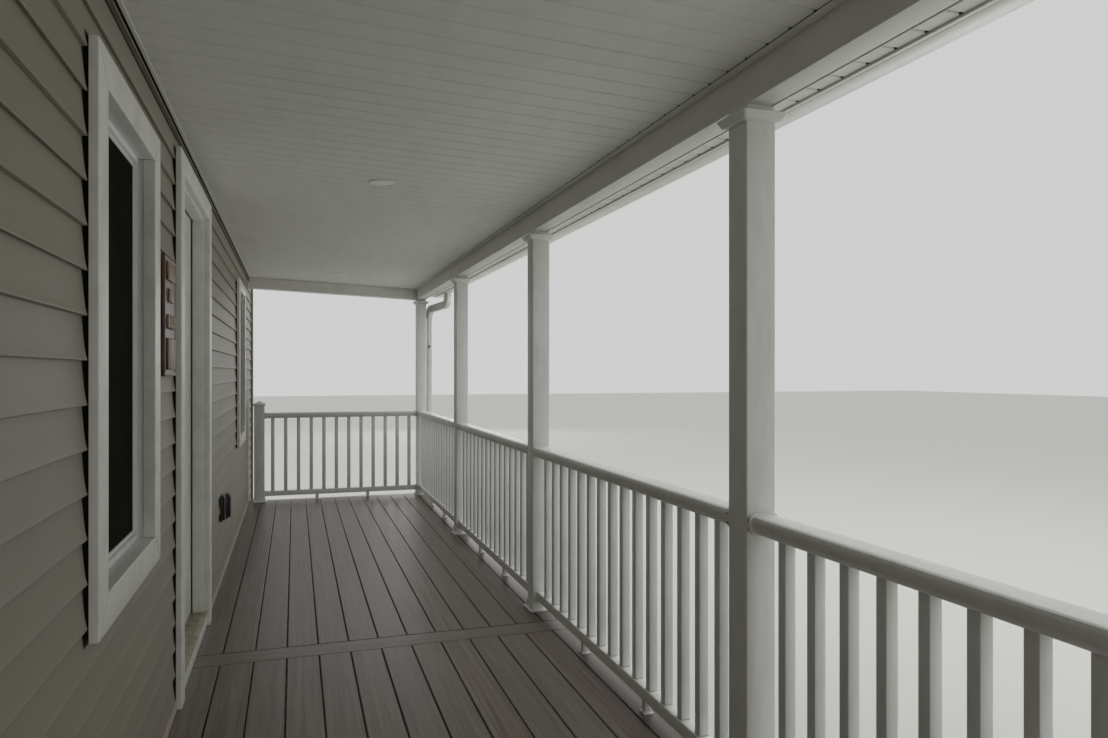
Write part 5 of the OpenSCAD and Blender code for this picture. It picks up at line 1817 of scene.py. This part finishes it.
    def downspout(self) -> list[Piece]:
        """Makes the outlet, the two bends, the legs and the straps on the corner post."""
        start = Vector((self.outlet_x, LAYOUT.fascia_y - self.gutter_foot / 2, self.outlet_z))
        end = Vector((LAYOUT.corner_x, self.spout_y, 0.0))
        heading = math.degrees(math.atan2(end.y - start.y, end.x - start.x))
        run = math.hypot(end.x - start.x, end.y - start.y)
        along = Vector(((end.x - start.x) / run, (end.y - start.y) / run, 0.0))
        r, top = self.bend_r, math.radians(self.bend_deg)
        leg = (run - 2 * r * (1 - math.cos(top))) / math.sin(top)
        slide = along * math.sin(top) + Vector((0.0, 0.0, -math.cos(top)))

        def bend(at: Vector, down: bool) -> list[tuple[Vector, float, float]]:
            """Gives the rings of a bend that starts upright, or of one that ends upright."""
            rings = []
            for k in range(self.bend_steps + 1):
                angle = top * k / self.bend_steps
                angle, sign = (angle, 1) if down else (top - angle, -1)
                centre = at + sign * (along * r * (1 - math.cos(angle)) - Vector((0.0, 0.0, r * math.sin(angle))))
                rings.append((centre, heading, math.degrees(angle)))
            return rings

        first = bend(start, True)
        knee = first[-1][0] + slide * leg
        foot = knee + along * r * (1 - math.cos(top)) + Vector((0.0, 0.0, -r * math.sin(top)))
        second = bend(foot, False)
        low = foot.z - self.twist
        parts = [
            self.tube([(start + Vector((0.0, 0.0, 0.050)), heading, 0.0), (start, heading, 0.0)], 0.0),
            self.tube(first, self.sleeve),
            self.tube([(first[-1][0] - slide * 0.003, heading, self.bend_deg),
                       (knee + slide * 0.003, heading, self.bend_deg)], 0.0),
            self.tube(second, self.sleeve),
            self.tube([(foot, heading, 0.0), (Vector((foot.x, foot.y, foot.z - self.twist * 0.5)), heading / 2, 0.0),
                       (Vector((foot.x, foot.y, low)), 0.0, 0.0)], 0.0),
            self.tube([(Vector((end.x, end.y, low)), 0.0, 0.0), (Vector((end.x, end.y, self.foot_z)), 0.0, 0.0)], 0.0)]
        screws = []
        for z in self.straps:
            parts.append(self.tube([(Vector((end.x, end.y, z + self.strap_h)), 0.0, 0.0),
                                    (Vector((end.x, end.y, z)), 0.0, 0.0)], self.strap_t))
            near, t = LAYOUT.post_y - LAYOUT.post_w / 2, self.strap_t / 2
            for sign in (-1, 1):
                x = end.x + sign * (self.spout_w / 2 + t)
                parts.append(Bench.block((x - t, self.spout_y, z), (x + t, near, z + self.strap_h)))
                screws.append(Bench.turned((x + sign * t, near - 0.010, z + self.strap_h / 2), [
                    (0.0038, 0.0), (0.0036, sign * 0.0008), (0.0014, sign * 0.0012)], Axis.X, 10))
        return self.coat("enamel", *parts) + self.coat("steel", *screws)

    def pieces(self) -> Iterable[Delivery]:
        """Makes the eave."""
        yield Delivery("grooved_soffit", self.soffit(), "ceiling_vinyl", "soffit")
        yield Delivery("wrapped_fascia", self.fascia(), "beam_wrap", "fascia")
        yield Delivery("ogee_gutter", self.gutter(), "gutter_metal", "gutter")
        yield Delivery("downspout_with_bends", self.downspout(), "gutter_metal", "downspout")


@dataclass
class Roof(Assembly):
    """The shed roof: sheathing with a metal edge at the eave, under lapped courses of three-tab shingles."""

    rise: float = 0.25
    seat: float = 2.87975
    eave_y: float = -2.084
    head_y: float = -0.100
    sheathing_t: float = 0.0125
    under_t: float = 0.0265
    head_t: float = 0.0270
    foot_t: float = 0.0315
    courses: int = 14
    tabs: int = 30
    slot_w: float = 0.006
    sheet_t: float = 0.0008

    def at(self, y: float, height: float) -> Flat:
        """Gives a point of the roof's section, by its height above the underside."""
        return y, self.seat + (y - LAYOUT.fascia_y) * self.rise + height

    def band(self, y0: float, y1: float, low: float, high: float) -> Piece:
        """Makes one layer over the roof's length."""
        section = [self.at(y0, low), self.at(y1, low), self.at(y1, high), self.at(y0, high)]
        return Bench.bar(Axis.X, section, -LAYOUT.roof_half, LAYOUT.roof_half)

    def row(self, course: int) -> list[Piece]:
        """Makes one course of tabs; every second course is moved by half a tab and ends in half tabs."""
        run = (self.head_y - self.eave_y) / self.courses
        width = 2 * LAYOUT.roof_half / self.tabs
        foot, head = self.eave_y + course * run, min(self.eave_y + (course + 1) * run + 0.015, self.head_y)
        section = [self.at(foot, self.under_t - 0.0002), self.at(head, self.under_t - 0.0002),
                   self.at(head, self.head_t - 0.0003), self.at(foot + 0.0012, self.foot_t),
                   self.at(foot, self.foot_t - 0.0010)]
        gap, start = self.slot_w / 2, -LAYOUT.roof_half
        shift = width / 2 if course % 2 else 0.0
        first = Bench.bar(Axis.X, section, start + shift + gap, start + shift + width - gap)
        tabs = [Bench.repeat(first, self.tabs - course % 2, (width, 0.0, 0.0))]
        if course % 2:
            for x0, x1 in ((start, start + shift - gap), (-start - shift + gap, -start)):
                tabs.append(Bench.bar(Axis.X, section, x0, x1))
        return tabs

    def pieces(self) -> Iterable[Delivery]:
        """Makes the roof as one piece."""
        boards = self.band(self.eave_y + self.sheet_t, self.head_y, 0.0, self.sheathing_t)
        edge = [self.at(self.eave_y, 0.0002), self.at(self.eave_y + self.sheet_t, 0.0002),
                self.at(self.eave_y + self.sheet_t, self.sheathing_t), self.at(self.eave_y + 0.060, self.sheathing_t),
                self.at(self.eave_y + 0.060, self.sheathing_t + self.sheet_t),
                self.at(self.eave_y, self.sheathing_t + self.sheet_t)]
        metal = Bench.bar(Axis.X, edge, -LAYOUT.roof_half, LAYOUT.roof_half)
        layers = [self.band(self.eave_y + 0.004, self.head_y, self.sheathing_t + self.sheet_t, self.under_t)]
        for course in range(self.courses):
            layers += self.row(course)
        parts = self.coat("timber_x", boards) + self.coat("enamel", metal) + self.coat("shingle", *layers)
        yield Delivery("shingled_roof", parts, "shingle", "roof")


# Stage, lights and camera

@dataclass(frozen=True)
class Studio:
    """A pale floor, soft even light and the photograph's point of view."""

    camera_at: Point = (-3.85, -0.560, 1.905)
    turn_deg: float = 17.4388
    lens_px: float = 770.08
    image_px: tuple[int, int] = (1108, 738)
    centre_px: Flat = (536.5, 372.0)
    sensor_mm: float = 36.0
    clip_m: Flat = (0.05, 300.0)
    floor: Finish = MattFloor("matt_studio_floor", "cfcfcb", 0.9)
    floor_m: float = 120.0
    backdrop: float = 0.62
    sky_low: float = 0.20
    sky_top: float = 0.95
    sky_rise: Flat = (0.05, 0.80)
    lamps: tuple[tuple[str, Point, Point, float, float], ...] = (
        ("soft_front", (1.0, -6.5, 9.5), (0.6, -2.0, 0.6), 6.0, 200.0),
        ("soft_near_end", (-18.0, -7.0, 6.0), (0.0, -1.0, 1.0), 6.0, 150.0),
        ("soft_far_end", (21.0, -5.5, 4.6), (2.0, -1.6, 0.6), 5.0, 80.0),
        ("off_the_ground", (0.5, -6.5, 0.05), (0.5, -5.5, 5.0), 8.0, 330.0))

    def build(self) -> None:
        """Builds the floor, the world, the lamps and the camera."""
        self.place_floor()
        self.light_world()
        self.hang_lamps()
        self.place_camera()

    def place_floor(self) -> None:
        """Lays a wide plain floor under the porch, which keeps the porch's shadow."""
        bpy.ops.object.select_all(action="DESELECT")
        bpy.ops.mesh.primitive_plane_add(size=self.floor_m)
        floor = bpy.context.active_object
        floor.name = "studio_floor"
        floor.data.materials.append(self.floor.build())

    def light_world(self) -> None:
        """Lights with a white sky that brightens overhead, and shows the camera, glass and gloss an even backdrop."""
        world = bpy.data.worlds.new("studio_world")
        bpy.context.scene.world = world
        s = Shading(world, "Generated")
        ray = s.add("LightPath").outputs
        seen = ray["Is Camera Ray"]
        for kind in ("Is Transmission Ray", "Is Glossy Ray"):
            seen = s.math("MAXIMUM", seen, ray[kind])
        white = (1.0, 1.0, 1.0, 1.0)
        sky = s.span(s.axis("Z"), *self.sky_rise, self.sky_low, self.sky_top)
        light, shown = (s.add("Background", {"Color": white, "Strength": strength}).outputs[0]
                        for strength in (sky, self.backdrop))
        s.add("OutputWorld", {"Surface": s.add("MixShader", {0: seen, 1: light, 2: shown}).outputs[0]})

    def hang_lamps(self) -> None:
        """Adds broad soft lamps: one beyond the railing, one far behind each end, and one for light off the ground."""
        for name, place, aim, size, power in self.lamps:
            lamp = bpy.data.lights.new(name, "AREA")
            lamp.size = size
            lamp.energy = power
            holder = bpy.data.objects.new(name, lamp)
            bpy.context.scene.collection.objects.link(holder)
            holder.location = place
            holder.rotation_euler = (Vector(aim) - Vector(place)).to_track_quat("-Z", "Y").to_euler()
            holder.visible_camera = False

    def place_camera(self) -> None:
        """Stands the camera in the porch, where the photograph was taken from."""
        lens = bpy.data.cameras.new("photo_camera")
        lens.sensor_width = self.sensor_mm
        lens.lens = self.lens_px / self.image_px[0] * self.sensor_mm
        lens.shift_x = (self.image_px[0] / 2 - self.centre_px[0]) / self.image_px[0]
        lens.shift_y = (self.centre_px[1] - self.image_px[1] / 2) / self.image_px[0]
        lens.clip_start, lens.clip_end = self.clip_m
        camera = bpy.data.objects.new("photo_camera", lens)
        bpy.context.scene.collection.objects.link(camera)
        turn = math.radians(self.turn_deg)
        ahead = Vector((math.cos(turn), -math.sin(turn), 0.0))
        camera.location = self.camera_at
        camera.rotation_euler = ahead.to_track_quat("-Z", "Y").to_euler()
        bpy.context.scene.camera = camera
        bpy.context.scene.view_settings.view_transform = "Standard"


FINISHES: dict[str, Finish] = {
    "vinyl": ExtrudedVinyl("extruded_white_vinyl", "e6e7e4", 0.36),
    "siding": EmbossedVinyl("embossed_taupe_vinyl", "8d887a", 0.50),
    "deck": CompositeBoard("brushed_composite_board", "524335", 0.36, start=-1.973),
    "deck_cross": CompositeBoard("brushed_composite_cross_board", "524335", 0.36, pitch=0.5, grain=Grain.ALONG_Y),
    "coil": BentCoil("painted_bent_coil", "e2e3dd", 0.40),
    "trim": TrimBoard("painted_trim_board", "e3e4dd", 0.42),
    "strip": TrimBoard("dusty_painted_strip", "b1a79a", 0.50, grain=Grain.ALONG_X),
    "trim_long": TrimBoard("painted_trim_board_long", "e3e4dd", 0.42, grain=Grain.ALONG_X),
    "ceiling": BentCoil("matt_ceiling_vinyl", "e1e2dd", 0.55, dust="cfd0c9"),
    "glass": WindowGlass("dark_room_glass", "070808", 0.03),
    "timber_x": SawnTimber("treated_softwood_long", "a8936c", 0.75, grain=Grain.ALONG_X),
    "timber_y": SawnTimber("treated_softwood_cross", "a8936c", 0.75),
    "stain": StainedBoard("dark_stained_softwood", "2f2019", 0.45),
    "concrete": CastConcrete("form_cast_concrete", "b4b1a8", 0.90),
    "shingle": MineralShingle("mineral_shingle", "6b6762", 0.92),
    "flashing": WornMetal("mill_aluminium_flashing", "a9aaaa", 0.42),
    "threshold": WornMetal("soiled_mill_aluminium", "b5af9f", 0.60, tarnish="9a9483"),
    "hardware": WornMetal("dark_nickel", "6d665d", 0.34, tarnish="4a443d"),
    "enamel": BentCoil("gutter_enamel", "e6e7e3", 0.30, dust="c2c3bb"),
    "outlet": MouldedPart("dark_brown_abs", "211e1b", 0.48),
    "screen": WovenMesh("coated_glass_fibre_mesh", "0c0c0b", 0.90),
    "steel": WornMetal("zinc_plated_screw_steel", "a9a9a6", 0.36),
    # Black rubber for gaskets and splines; also painted shade in the balusters' holes and the keyhole.
    "rubber_and_shade": MouldedPart("black_rubber_and_painted_shade", "101010", 0.60, dust="1c1c1b"),
    # Painted shade: black sheets in the casing pockets, behind the siding's head, under the ceiling's edges and in
    # groove ends.
    "shade_sheet": MouldedPart("black_painted_shade", "090908", 0.95, dust="12120f"),
    "door_trim": TrimBoard("painted_door_jamb", "dfe0d9", 0.42),
    "door_paint": TrimBoard("satin_door_paint", "dcddd6", 0.38),
    "stain_worn": StainedBoard("worn_stained_softwood", "3a2a20", 0.55, pale="a08a6c"),
    "opal": MouldedPart("opal_acrylic_lens", "e9e9e3", 0.32, dust="d9d9d2"),
    "plaster": PaintedPlaster("rolled_matt_paint", "dedcd4", 0.85),
}

NODES_BY_FINISH: dict[str, str] = {
    "concrete": "foundation piers",
    "timber_x": "house_rim",
    "plaster": "wall_near wall_far wall_over_door",
    "siding": "siding corner_boards",
    "strip": "base_strip",
    "trim": "window_casings window_frames window_sashes door_casing door_frame door_leaf",
    "screen": "window_screens",
    "glass": "window_glass",
    "threshold": "door_sill",
    "trim_long": "sill_board skirt_boards gable_ends stair_risers",
    "hardware": "door_knob door_hinges",
    "stain": "plaque",
    "outlet": "outlet_covers",
    "deck": "deck_boards_near deck_boards_far stair_treads",
    "deck_cross": "breaker_board",
    "timber_y": "deck_frame rafters stair_sides",
    "vinyl": ("posts post_heads post_feet wall_newels ceiling_lights front_rail_1 front_rail_2 front_rail_3 "
              "front_rail_4 far_rail near_rail"),
    "coil": "beam_front beam_far beam_near fascia",
    "ceiling": "ceiling ceiling_trim soffit",
    "enamel": "gutter downspout",
    "shingle": "roof",
    "flashing": "roof_flashing",
}


class Workshop:
    """Keeps the materials that are made and dresses pieces with them."""

    def __init__(self, nodes: dict[str, Piece]) -> None:
        """Starts with the frame's nodes and no materials.

        Args:
            nodes: The CAD nodes by name.
        """
        self.nodes = nodes
        self.made: dict[str, bpy.types.Material] = {}
        self.triangles = 0

    def material(self, key: str) -> bpy.types.Material:
        """Gives the material of a finish, made on first use."""
        if key not in self.made:
            self.made[key] = FINISHES[key].build()
        return self.made[key]

    def dress_nodes(self) -> None:
        """Puts its finish on each CAD node."""
        for key, names in NODES_BY_FINISH.items():
            for name in names.split():
                self.coat(self.nodes[name], key)

    def coat(self, piece: Piece, key: str) -> Piece:
        """Puts one finish on all of a piece."""
        piece.data.materials.clear()
        piece.data.materials.append(self.material(key))
        return piece

    def hand_over(self, delivery: Delivery) -> None:
        """Joins the parts of a piece, shades it, seats it on its body and reports it."""
        piece = Bench.join(delivery.parts)
        piece.name = delivery.name
        Bench.pick(piece)
        bpy.ops.object.shade_smooth_by_angle(angle=math.radians(delivery.smooth_deg))
        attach(piece, delivery.body.value)
        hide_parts(delivery.node)
        triangles = sum(len(face.vertices) - 2 for face in piece.data.polygons)
        self.triangles += triangles
        LOG.info("%s: %d triangles, rides on %s, stands for %s", delivery.name, triangles, delivery.body.value,
                 delivery.node)


def main() -> None:
    """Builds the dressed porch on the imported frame."""
    logging.basicConfig(level=logging.INFO, format="%(name)s: %(message)s")
    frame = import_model()
    workshop = Workshop(frame["nodes"])
    workshop.dress_nodes()
    casing = Casing(workshop)
    for assembly in (Siding(workshop), Windows(workshop, casing), Doorway(workshop, casing), WallFittings(workshop),
                     Posts(workshop), Ceiling(workshop), Beams(workshop), Eave(workshop), Roof(workshop)):
        assembly.build()
    LOG.info("added %d triangles in all", workshop.triangles)
    Studio().build()


if __name__ == "__main__":
    main()
